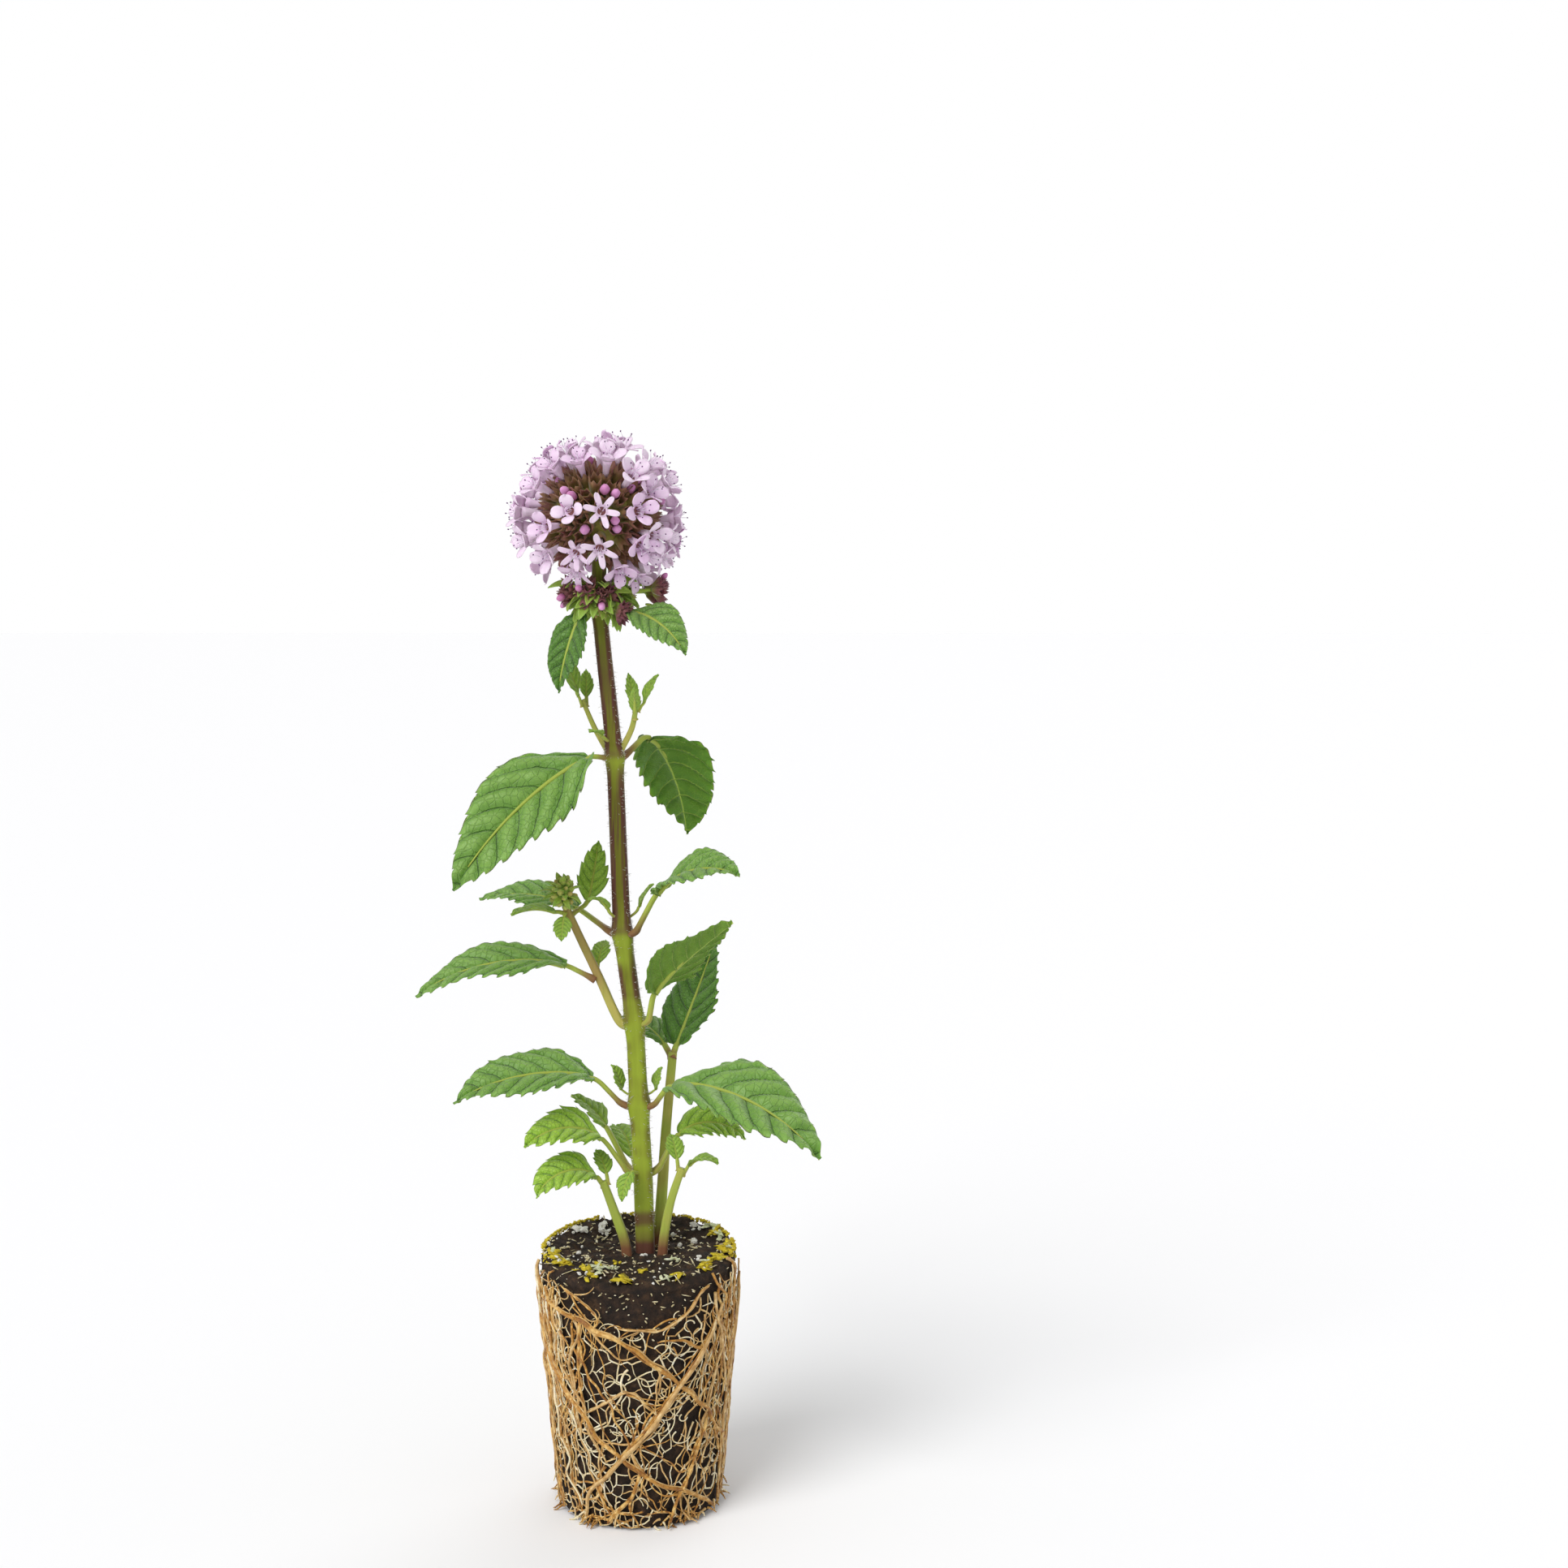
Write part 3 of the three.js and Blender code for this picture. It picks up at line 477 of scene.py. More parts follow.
def finish_piece(name, bm, skins, slot, node, flat=False, wall=0.0, unit=0.001):
    """Turns a bmesh into a piece that rides with the plant in place of a solid.

    `unit` is the bmesh's unit in metres, and `wall` gives a shape made of open sheets its thickness in
    millimetres.
    """
    bmesh.ops.scale(bm, vec=(unit, unit, unit), verts=bm.verts)
    for face in bm.faces:
        face.smooth = not flat
    mesh = bpy.data.meshes.new(name)
    bm.to_mesh(mesh)
    bm.free()
    for skin in skins:
        mesh.materials.append(skin)
    piece = placed(name, mesh)
    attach(piece, "root")
    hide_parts(node)
    if wall:
        modifier = piece.modifiers.new("thickness", "SOLIDIFY")
        modifier.thickness = wall / 1000
        modifier.offset = 0.0


def tube(bm, place, sides, rows, uv_name, uv_place, skin=lambda turn: 0, shade=None):
    """A grid rolled into a tube: `place(turn, along)` puts a point, both going from 0 to 1.

    `skin` gives a face's material and `shade` sets a vertex's colour values. The ends are closed.
    """
    made = bmesh.ops.create_grid(bm, x_segments=sides, y_segments=rows, size=0.5)["verts"]
    layer = bm.loops.layers.uv[uv_name]
    for face in {face for vert in made for face in vert.link_faces}:
        face.material_index = skin(face.calc_center_median().x + 0.5)
        for loop in face.loops:
            loop[layer].uv = uv_place(loop.vert.co.x + 0.5, loop.vert.co.y + 0.5)
    edge_rows = [[], []]
    for vert in made:
        turn, along = vert.co.x + 0.5, vert.co.y + 0.5
        vert.co = place(turn, along)
        if shade:
            shade(vert, along)
        if along < 1e-6 or along > 1 - 1e-6:
            edge_rows[along > 0.5].append(vert)
    bmesh.ops.remove_doubles(bm, verts=made, dist=1e-5)
    made = [vert for vert in made if vert.is_valid]
    for row in edge_rows:
        ring = {vert for vert in row if vert.is_valid}
        rim = [edge for edge in {edge for vert in ring for edge in vert.link_edges}
               if edge.is_boundary and set(edge.verts) <= ring]
        if rim:
            for face in bmesh.ops.holes_fill(bm, edges=rim)["faces"]:
                face.material_index = skin(0.25)
    faces = list({face for vert in made for face in vert.link_faces})
    bm.normal_update()
    bmesh.ops.recalc_face_normals(bm, faces=faces)
    bm.normal_update()
    start = faces[0].verts[0].co
    if sum((face.calc_center_median() - start).dot(face.normal) * face.calc_area() for face in faces) < 0:
        bmesh.ops.reverse_faces(bm, faces=faces)  # a thin curled blade can come out inside out


def smooth_path(points, count):
    """Evenly stepped points on a smooth curve through the given ones."""
    controls = [Vector(p) for p in points]
    controls = [controls[0] * 2 - controls[1], *controls, controls[-1] * 2 - controls[-2]]
    spans = len(controls) - 3
    out = []
    for i in range(count + 1):
        t = min(i / count * spans, spans - 1e-9)
        f = t - int(t)
        a, b, c, d = controls[int(t):int(t) + 4]
        out.append(0.5 * (2 * b + (c - a) * f + (2 * a - 5 * b + 4 * c - d) * f ** 2
                          + (3 * b - 3 * c + d - a) * f ** 3))
    return out


def frames_along(points):
    """Each point with two axes across the path."""
    frames = []
    for i, point in enumerate(points):
        ahead = (points[min(i + 1, len(points) - 1)] - points[max(i - 1, 0)]).normalized()
        side = ahead.cross(Vector((0.0, 1.0, 0.0))).normalized()
        frames.append((point, side, side.cross(ahead)))
    return frames


# ---------------------------------------------------------------- stems

def at_height(rows, z):
    """A table's values at a height, in proportion between its rows."""
    k = next((i for i in range(1, len(rows)) if z <= rows[i][0]), len(rows) - 1)
    a, b = rows[k - 1], rows[k]
    share = (z - a[0]) / (b[0] - a[0])
    return [low + (high - low) * share for low, high in zip(a[1:], b[1:])]


def bump_at(z, places, reach):
    """The sum of bell-shaped bumps at some heights."""
    return sum(math.exp(-((z - place) / reach) ** 2) for place in places)


def stem_at(z):
    x, y, r = at_height(MAIN_STEM, z)
    return Vector((x, y, z)), r * (1 + NODE_SWELLING * bump_at(z, NODE_HEIGHTS, NODE_REACH))


def square_section(turn):
    """Radius share of a square stem: four rounded corners and a shallow groove down each face."""
    corner = -math.cos(4 * TAU * turn)
    return 1 + 0.1 * corner - 0.035 * max(0.0, -corner) ** 4


def stem_mesh():
    """A new bmesh with the stem's UV map and its two colour values: fresh green and reddish blush."""
    bm = bmesh.new()
    bm.loops.layers.uv.new("blade")
    bm.loops.layers.uv.new("stem")
    return bm, bm.verts.layers.float.new("fresh"), bm.verts.layers.float.new("blush")


def build_main_stem():
    bm, fresh, blush = stem_mesh()

    def place(turn, along):
        z = STEM_FOOT + (STEM_END - STEM_FOOT) * along
        centre, radius = stem_at(min(z, STEM_END - 1))
        angle = turn * TAU - TAU / 4
        uneven = 0.02 * waver(math.cos(angle), -math.sin(angle), z / 6)
        # a sharp collar right at each joint, with the leaf scar's groove over it
        collar = 0.05 * bump_at(z, NODE_HEIGHTS, 0.7) - 0.03 * bump_at(z - 1.6, NODE_HEIGHTS, 0.5)
        r = radius * square_section(turn) * (1 + uneven + collar)
        if z > STEM_TAPER:
            r *= max(0.2, (STEM_END - z) / (STEM_END - STEM_TAPER)) ** 0.5
        return Vector((centre.x, centre.y, 0)) + polar(r, angle, z)

    def shade(vert, along):
        z = STEM_FOOT + (STEM_END - STEM_FOOT) * along
        mottle = 0.97 + 0.5 * noise.noise(vert.co / 3)
        vert[fresh] = min(1.0, max(0.0, at_height(STEM_FRESH, z)[0] * mottle))
        joint = max(bump_at(z - 0.5, [node], 0.8) for node in NODE_HEIGHTS[2:])
        ring = math.exp(-((z - 56.2) / 1.5) ** 4) + 0.55 * bump_at(z, [160.5], 6)
        foot = 0.5 * smooth_step((55.5 - z) / 3) + max(0.0, (52.4 - z) / 2.6)
        vert[blush] = min(0.95, 0.78 * ring + 0.5 * joint + foot)

    def on_rind(turn, along):
        return turn, (STEM_FOOT + (STEM_END - STEM_FOOT) * along) / 1000

    tube(bm, place, 32, 300, "stem", on_rind, shade=shade)
    finish_piece("stem_main", bm, [STEM_SKIN], "stem", "main_stem")


def build_hairs():
    """Short silvery hairs along the main stem's corners, thickest round the joints."""
    bm, _ = tinted_mesh()
    for i in range(HAIRS):
        z = rng.choice(NODE_HEIGHTS) + rng.gauss(0, 2.2) if i % 3 == 0 else rng.uniform(54, 172)
        turn = (rng.randrange(4) + 0.5) / 4 + rng.gauss(0, 0.035)
        centre, radius = stem_at(z)
        outward = polar(1, turn * TAU - TAU / 4, 0)
        root = centre + outward * radius * (square_section(turn) - 0.06)
        lean = (outward + shake(0.4)).normalized()
        thread_shape(bm, root, root + lean * rng.uniform(0.4, 0.9), 0.04)
    finish_piece("stem_hairs", bm, [HAIR], "stem", "main_stem")


def build_shoots():
    rows = 60
    for name, (points, foot, tip) in SHOOTS.items():
        bm, fresh, blush = stem_mesh()
        path = frames_along(smooth_path(points, rows))
        length = sum((path[i + 1][0] - path[i][0]).length for i in range(rows))
        ripening = name == "branch"

        def place(turn, along):
            centre, side, back = path[round(along * rows)]
            angle = turn * TAU
            uneven = 0.03 * waver(math.sin(angle), math.cos(angle), along * 9 + foot)
            r = (foot + (tip - foot) * along) * square_section(turn) * (1 + uneven)
            return centre + side * r * math.cos(angle) + back * r * math.sin(angle)

        def shade(vert, along):
            vert[fresh] = min(1.0, (0.45 if ripening else 0.9) + 0.5 * noise.noise(vert.co / 4))
            if ripening:
                vert[blush] = 0.45 * smooth_step((along - 0.35) / 0.2)
            else:
                vert[blush] = min(0.9, max(0.0, (54.5 - vert.co.z) / 4)) if vert.co.z < 70 else 0.1

        tube(bm, place, 20, rows, "stem", lambda turn, along: (turn, along * length / 1000), shade=shade)
        finish_piece("stem_" + name, bm, [SHOOT_SKIN], "stem", name + "_stem")


# ---------------------------------------------------------------- leaves

def outline(t):
    """Half width of a blade, as a share of its widest, at a share of its length."""
    if t < WIDEST:
        return math.sin(t / WIDEST * math.pi / 2) ** 0.52
    return 1 - ((t - WIDEST) / (1 - WIDEST)) ** 1.7


def leaf_rib(foot, azimuth, petiole, rise, blade, start, end, sweep, roll, steps):
    """Points and axes along the petiole and then the blade's rib, `steps` rows in each."""
    at = foot.copy()
    rows = []
    for i in range(2 * steps + 1):
        t = max(0.0, (i - steps) / steps)
        blend = min(1.0, max(0.0, (i - steps * 0.7) / (steps * 0.45)))
        elevation = start + (end - start) * t
        if t < 0.15:
            elevation = rise + (start - rise) * blend + (end - start) * t * blend
        along, flat = heading(elevation, azimuth + sweep * t), heading(0, azimuth + sweep * t + 90)
        up = along.cross(flat)
        angle = math.radians(roll * min(1.0, t * 4))
        side = flat * math.cos(angle) + up * math.sin(angle)
        rows.append((at.copy(), side, up * math.cos(angle) - flat * math.sin(angle)))
        at += along * ((petiole if i < steps else blade) / steps)
    return rows


def build_leaf(name, anchor, foot, azimuth, petiole, rise, blade, start, end, width, sweep, roll):
    large = blade > LARGE_LEAF
    grown = large and not name.startswith("basal")
    bm, fresh, blush = stem_mesh()
    steps = 84 if large else 36
    half_columns = 17 if large else 8
    teeth = 11 if grown else 7 if large else 5
    depth = 0.09 if grown else 0.19
    own = random.Random(name)
    wave, twist, shift = own.uniform(0, TAU), own.uniform(-0.5, 0.5), own.uniform(0, 9)
    rib = leaf_rib(foot, azimuth, petiole, rise, blade, start, end, sweep, roll, steps)
    fold = math.tan(math.radians(14))
    base_lobe = 0.045 if grown else 0.0

    def blade_point(u, v):
        """The point and normal at `u` from one margin, -1, to the other, 1, and `v` along the rib."""
        reach = abs(u)
        half = max(0.12, width / 2 * outline(v))
        saw = ((v + 0.035 * waver(v * 7, shift, u)) * teeth % 1.0) ** 0.75
        bite = depth * (1 + 0.5 * waver(v * 5, u, shift)) * (1 - smooth_step((v - 0.88) / 0.1))
        x = u * half * (1 - bite * (1 - saw) * reach ** 4)
        ahead = v + 0.3 / teeth * saw * reach ** 5 * (1 - smooth_step((v - 0.86) / 0.1))
        ahead = max(0.0, ahead - base_lobe * reach ** 2 * (1 - smooth_step(v / 0.22)))
        k = min(int(ahead * steps), steps - 1)
        at, side, normal = [
            a.lerp(b, ahead * steps - k) for a, b in zip(rib[steps + k], rib[steps + k + 1])]

        # the blade swells between its side veins and sinks along them and along the rib
        span = abs(x) / width / 2
        phase = (ahead - VEIN_SLANT * span - VEIN_CURVE * span ** 2) * VEIN_PAIRS % 1.0
        sunk = math.exp(-(min(phase, 1 - phase) / 0.1) ** 2)
        buckle = 0.018 * noise.noise(Vector((x, v * blade, shift)) * (9 / width))
        quilt = 0.032 * math.sin(math.pi * phase) - 0.02 * sunk + buckle
        groove = -0.03 * math.exp(-(x / (0.035 * width)) ** 2)
        ripple = 0.035 * math.sin(v * 11 + wave + (1.2 if u > 0 else 0)) * reach ** 2
        ripple += 0.02 * math.sin(v * teeth * TAU) * reach ** 6
        lift = width * (quilt * (1 - reach ** 6) * min(1.0, reach * 5) + groove + ripple)
        lift += reach * half * fold * (1 - 0.55 * reach) + twist * x * 0.12 * v
        return at - side * x + normal * lift, normal

    def across(turn):
        return 4 * turn - 1 if turn <= 0.5 else 3 - 4 * turn

    def blade_skin(turn, v):
        """Across the upper side, then back under the blade."""
        point, normal = blade_point(across(turn), v)
        return point if turn <= 0.5 else point - normal * BLADE_THICKNESS * (1 - abs(across(turn)) ** 5)

    def blade_uv(turn, v):
        return 0.5 + across(turn) * outline(v) / 4, v

    tube(bm, blade_skin, 4 * half_columns, steps, "blade", blade_uv, lambda turn: int(turn > 0.5))

    # the petiole starts inside the stem and runs on under the blade as its midrib
    thick = min(0.6, max(0.36, width * 0.075))
    joined = 1.1 * steps / petiole  # rows in which it comes out of the stem
    last_row = 2 * steps * 0.93

    def petiole_point(turn, along):
        row = along * last_row
        k = min(int(row), 2 * steps - 1)
        at = rib[k][0].lerp(rib[k + 1][0], row - k)
        side, normal = rib[k][1], rib[k][2]
        in_blade = max(0.0, (row - steps) / steps)
        radius = thick * (1 - 0.12 * min(1.0, row / steps)) * (1 - 0.86 * in_blade ** 0.8)
        if in_blade > 0:
            at = at - normal * (0.12 + radius * 0.45)
        elif row < joined:
            at = at.lerp(anchor, (1 - row / joined) ** 2)
        flare = radius * (1 + 0.5 * math.exp(-(row / (steps * 0.12)) ** 2))
        channel = 1 - 0.35 * max(0.0, math.sin(turn * TAU)) ** 6 * (in_blade == 0)
        angle = turn * TAU
        return at + side * flare * 1.15 * math.cos(angle) + normal * flare * channel * math.sin(angle)

    def petiole_shade(vert, along):
        share = along * last_row / steps
        vert[fresh] = min(1.0, 0.4 + share)
        vert[blush] = (0.9 if grown and name != "leaf_2_right" else 0.12) * max(0.0, 1 - 1.7 * share)

    def petiole_uv(turn, along):
        return turn, along * (petiole + blade) / 1000

    tube(bm, petiole_point, 10, 60 if large else 30, "stem", petiole_uv, lambda turn: 2, petiole_shade)
    skins = PAINTED_SHADE_LEAF if name in PAINTED_SHADE_LEAVES else GROWN_LEAF if grown else YOUNG_LEAF
    finish_piece("blade_" + name, bm, [*skins, SHOOT_SKIN], "leaf", name)


def build_leaves():
    for name, (z, azimuth, petiole, rise, *blade) in STEM_LEAVES.items():
        centre, radius = stem_at(z)
        outward = heading(0, azimuth)
        foot = centre + outward * (radius * 1.1 + GAP + 0.5 * math.sin(math.radians(abs(rise))))
        anchor = centre + outward * radius * 0.6 - Vector((0, 0, 0.5))
        build_leaf(name, anchor, foot, azimuth, petiole, rise, *blade)
    for name, (foot, azimuth, petiole, rise, *blade) in SHOOT_LEAVES.items():
        anchor = Vector(foot) - heading(rise, azimuth) * 1.2
        build_leaf(name, anchor, Vector(foot), azimuth, petiole, rise, *blade)


# ---------------------------------------------------------------- flowers

def prototype(build):
    """A shape made once and copied; its vertices carry the share of its length as "reach"."""
    bm = bmesh.new()
    bm.verts.layers.float.new("reach")
    build(bm)
    mesh = bpy.data.meshes.new("prototype")
    bm.to_mesh(mesh)
    bm.free()
    return mesh


def shaped_grid(bm, columns, rows, place):
    """A grid; `place(u, v)`, both going from 0 to 1, gives each vertex its point and its reach."""
    reach = bm.verts.layers.float["reach"]
    for vert in bmesh.ops.create_grid(bm, x_segments=columns, y_segments=rows, size=0.5)["verts"]:
        vert.co, vert[reach] = place(vert.co.x + 0.5, vert.co.y + 0.5)


def calyx_shape(bm):
    """Ribbed tube, 3.7 mm long, closed at its foot, with five pointed teeth."""
    rows = [(0.0, 0.35), (0.8, 0.8), (2.4, 1.0), (3.7, 1.02)]

    def place(turn, along):
        z, r = rows[round(along * 3)]
        ridge = math.cos(turn * 5 * TAU)
        return polar(r * (1 + 0.07 * ridge), turn * TAU, z + 0.55 * ridge * (along > 0.9)), along

    shaped_grid(bm, 10, 3, place)
    bmesh.ops.remove_doubles(bm, verts=bm.verts, dist=1e-4)
    foot = [edge for edge in bm.edges if edge.is_boundary and max(v.co.z for v in edge.verts) < 0.1]
    bmesh.ops.holes_fill(bm, edges=foot)


def corolla_shape(lobes, half, length, opening, curl):
    """Gives a builder of a flared tube with rounded lobes; of four, the upper one is broad and notched."""
    tube_foot = 2.8

    def tube_point(turn, along):
        z = tube_foot + (THROAT - tube_foot) * along
        return polar(0.45 + 0.6 * along ** 2.2, turn * TAU, z), 0.8 - 0.3 * along

    def build(bm):
        shaped_grid(bm, 16, 4, tube_point)
        # A disc that closes the tube; with no reach, it takes the petal skin's dark foot colour as painted
        # shade.
        matrix = Matrix.Translation((0, 0, THROAT - 0.9))
        bmesh.ops.create_circle(bm, cap_ends=True, cap_tris=True, segments=12, radius=0.75, matrix=matrix)
        for lobe in range(lobes):
            upper = lobe == 0 and lobes == 4
            broad, foot = half * (1.15 if upper else 1), 3.1 / lobes
            slope = opening + 0.16 * math.sin(lobe * 2.3 + 0.5)
            bend = curl + 0.25 * math.sin(lobe * 1.9)
            wave = 0.22 * math.sin(lobe * 1.7 + 1)
            turn = Matrix.Rotation(TAU * lobe / lobes, 4, "Z")

            def lobe_point(across, along):
                u, v = across * 2 - 1, 1 - (1 - along) ** 1.5
                if v < 0.45:
                    width = foot + (broad - foot) * smooth_step(v / 0.45)
                else:
                    width = broad * (1 - ((v - 0.45) / 0.55) ** 2.6) ** 0.5
                run = length * v * (0.9 if upper else 1) - (0.34 * (1 - abs(u)) * v ** 6 if upper else 0)
                lean = min(1.5, slope + bend * v / 2)
                rise = THROAT - 0.06 + run * math.cos(lean) + 0.28 * u * u * v * (1 - 0.4 * v) + wave * u * v
                return turn @ Vector((1.0 + run * math.sin(lean), u * width, rise)), 0.5 + 0.5 * v

            shaped_grid(bm, 4, 6, lobe_point)
        bmesh.ops.remove_doubles(bm, verts=bm.verts, dist=0.02)
    return build


def bud_shape(bm):
    """Closed rosy bud, a blunt egg out of the calyx's mouth."""
    reach = bm.verts.layers.float["reach"]
    for vert in bmesh.ops.create_uvsphere(bm, u_segments=10, v_segments=7, radius=1.0)["verts"]:
        z = vert.co.z
        girth = 0.82 * (1.08 - 0.1 * z) * (1 + 0.06 * math.cos(4 * math.atan2(vert.co.y, vert.co.x)))
        vert.co = Vector((vert.co.x * girth, vert.co.y * girth, 4.5 + 1.35 * z))
        vert[reach] = (z + 1) / 2


def bract_shape(bm):
    """Narrow pointed bract, 5 mm long, arched downwards."""
    def place(across, v):
        u = across * 2 - 1
        width = 0.85 * math.sin(math.pi * (0.12 + 0.88 * v)) ** 0.8 + 0.04
        return Vector((0.5 * abs(u) * width - 1.5 * v * v, u * width, 5 * v - 0.8 * v * v)), v

    shaped_grid(bm, 4, 8, place)
    bmesh.ops.remove_doubles(bm, verts=bm.verts, dist=0.02)


def thread_shape(bm, start, tip, radius, sides=3):
    """A straight thread or stalk between two points."""
    axis = tip - start
    turn = Vector((0, 0, 1)).rotation_difference(axis).to_matrix().to_4x4()
    bmesh.ops.create_cone(bm, cap_ends=True, segments=sides, radius1=radius, radius2=radius * 0.7,
                          depth=axis.length, matrix=Matrix.Translation((start + tip) / 2) @ turn)


def threads_shape(bm):
    """The stamens' threads, each bent once."""
    for x, y, z in STAMEN_TIPS:
        knee = Vector((x * 0.4, y * 0.4, (THROAT + z) / 2 + 0.2))
        thread_shape(bm, Vector((x * 0.2, y * 0.2, THROAT - 0.8)), knee, 0.09)
        thread_shape(bm, knee, Vector((x, y, z)), 0.075)


def anthers_shape(bm):
    for tip in STAMEN_TIPS:
        matrix = Matrix.Translation(tip) @ Matrix.Diagonal((0.14, 0.14, 0.18, 1))
        bmesh.ops.create_icosphere(bm, subdivisions=1, radius=1.0, matrix=matrix)


SHAPES = {kind: prototype(build) for kind, build in {
    "calyx": calyx_shape,
    "bud": bud_shape,
    "bract": bract_shape,
    "bell": corolla_shape(4, 1.22, 2.7, 0.42, 0.95),
    "star": corolla_shape(6, 0.56, 2.5, 0.95, 0.4),
    "thread": threads_shape,
    "anther": anthers_shape,
}.items()}


def tinted_mesh():
    bm = bmesh.new()
    bm.verts.layers.float.new("reach")
    return bm, bm.verts.layers.float.new("tone")


def copies(*placed):
    """A mesh of prototypes: each pair is a name and the copies' matrices; every copy has its random tone."""
    bm, tone = tinted_mesh()
    for kind, matrices in placed:
        for matrix in matrices:
            before = len(bm.verts)
            bm.from_mesh(SHAPES[kind])
            bm.verts.ensure_lookup_table()
            added = bm.verts[before:]
            bmesh.ops.transform(bm, matrix=matrix, verts=added)
            shade = rng.random() ** 1.5
            for vert in added:
                vert[tone] = shade
    return bm


def facing(base, direction, roll, scale=1.0):
    """A matrix that stands a prototype at `base` along `direction`, its upper lobe turned skyward."""
    z = direction.normalized()
    up = Vector((0.0, 0.0, 1.0)) if abs(z.z) < 0.95 else Vector((0.0, 1.0, 0.0))
    x = (up - z * up.dot(z)).normalized()
    turn = Matrix((x, z.cross(x), z)).transposed().to_4x4()
    return Matrix.Translation(base) @ turn @ Matrix.Rotation(roll, 4, "Z") @ Matrix.Scale(scale, 4)


def head_directions(count, lowest):
    """Directions spread evenly over a ball down to an elevation, each a little off its place."""
    bottom = math.sin(math.radians(lowest))
    directions = []
    for i in range(count):
        height = 1 - (i + 0.5) / count * (1 - bottom)
        elevation = math.degrees(math.asin(height)) + rng.uniform(-3, 3)
        directions.append((min(elevation, 89), (GOLDEN_ANGLE * i + rng.uniform(-5, 5)) % 360))
    return directions


def flower_sites():
    """The directions given in front of the head, and those of all its flowers."""
    sites = []
    for elevation, azimuth in head_directions(HEAD_FLOWERS, -58):
        off_front = abs((azimuth - 270 + 180) % 360 - 180)
        if elevation > -38 or off_front > 18:  # the stem shows between the lowest florets
            sites.append(heading(elevation, azimuth))
    rng.shuffle(sites)
    front = [Vector((x, -math.sqrt(1 - x ** 2 - z ** 2), z)) for x, z in FRONT_FLORETS + FRONT_BUDS]
    return front, front + [site for site in sites if all((site - other).length > 0.11 for other in front)]


def build_flower_head():
    spots = {kind: [] for kind in SHAPES}
    front, sites = flower_sites()
    front_buds = front[len(FRONT_FLORETS):]
    blooms = []
    for direction in sites:
        squash = Vector((direction.x, direction.y, direction.z * HEAD_RADII.z / HEAD_RADII.x))
        lean = (squash + shake(0.14) * (0.3 if direction in front else 1)).normalized()
        base = HEAD_CENTRE + squash * rng.uniform(7.0, 7.8)
        spots["calyx"].append(facing(base, lean, rng.uniform(-0.5, 0.5), rng.uniform(0.95, 1.2)))
        facing_front = direction.y < 0 and math.hypot(direction.x, direction.z) < 0.72
        bare = facing_front or direction.z < 0.7 and noise.noise(direction * 1.9 + Vector((3, 1, 4))) > 0.3
        clear = all((direction - other).length > 0.262 for other in blooms)
        if direction in front_buds:
            spots["bud"].append(facing(base + lean * 0.5, lean, 0.0, rng.uniform(0.95, 1.2)))
        elif direction in front or clear and not bare:
            blooms.append(direction)
            size = rng.uniform(0.94, 1.08)
            opened = base + lean * (rng.uniform(-0.5, 0.5) - 7 * (size - 1))
            bloom = facing(opened, lean, rng.gauss(0, 0.22), size)
            starry = direction in front[:FRONT_STARS] or direction not in front and rng.random() < 0.2
            for kind in ("star" if starry else "bell", "thread", "anther"):
                spots[kind].append(bloom)
        elif rng.random() < 0.2:
            spots["bud"].append(facing(base - lean * 0.3, lean, 0.0, rng.uniform(0.8, 1.0)))
    for name, kinds, skin, slot, wall in [
        ("head_calyces", ["calyx"], CALYX, "bud", PETAL_WALL),
        ("head_corollas", ["bell", "star"], PETAL, "flower", PETAL_WALL),
        ("head_buds", ["bud"], ROSY_BUD, "flower", 0.0),
        ("head_stamens", ["thread"], FILAMENT, "flower", 0.0),
        ("head_anthers", ["anther"], ANTHER, "bud", 0.0),
    ]:
        bm = copies(*[(kind, spots[kind]) for kind in kinds])
        finish_piece(name, bm, [skin], slot, "flower_head", wall=wall)

    bm, tone = tinted_mesh()  # the lumpy middle that closes the gaps between the calyces
    matrix = Matrix.Translation(HEAD_CENTRE) @ Matrix.Diagonal((8.4, 8.4, 7.5, 1))
    bmesh.ops.create_icosphere(bm, subdivisions=5, radius=1.0, matrix=matrix)
    for vert in bm.verts:
        vert.co += (vert.co - HEAD_CENTRE).normalized() * 1.1 * noise.noise(vert.co / 0.8)
        vert[tone] = rng.random()
    finish_piece("head_heart", bm, [CALYX], "bud", "flower_head")


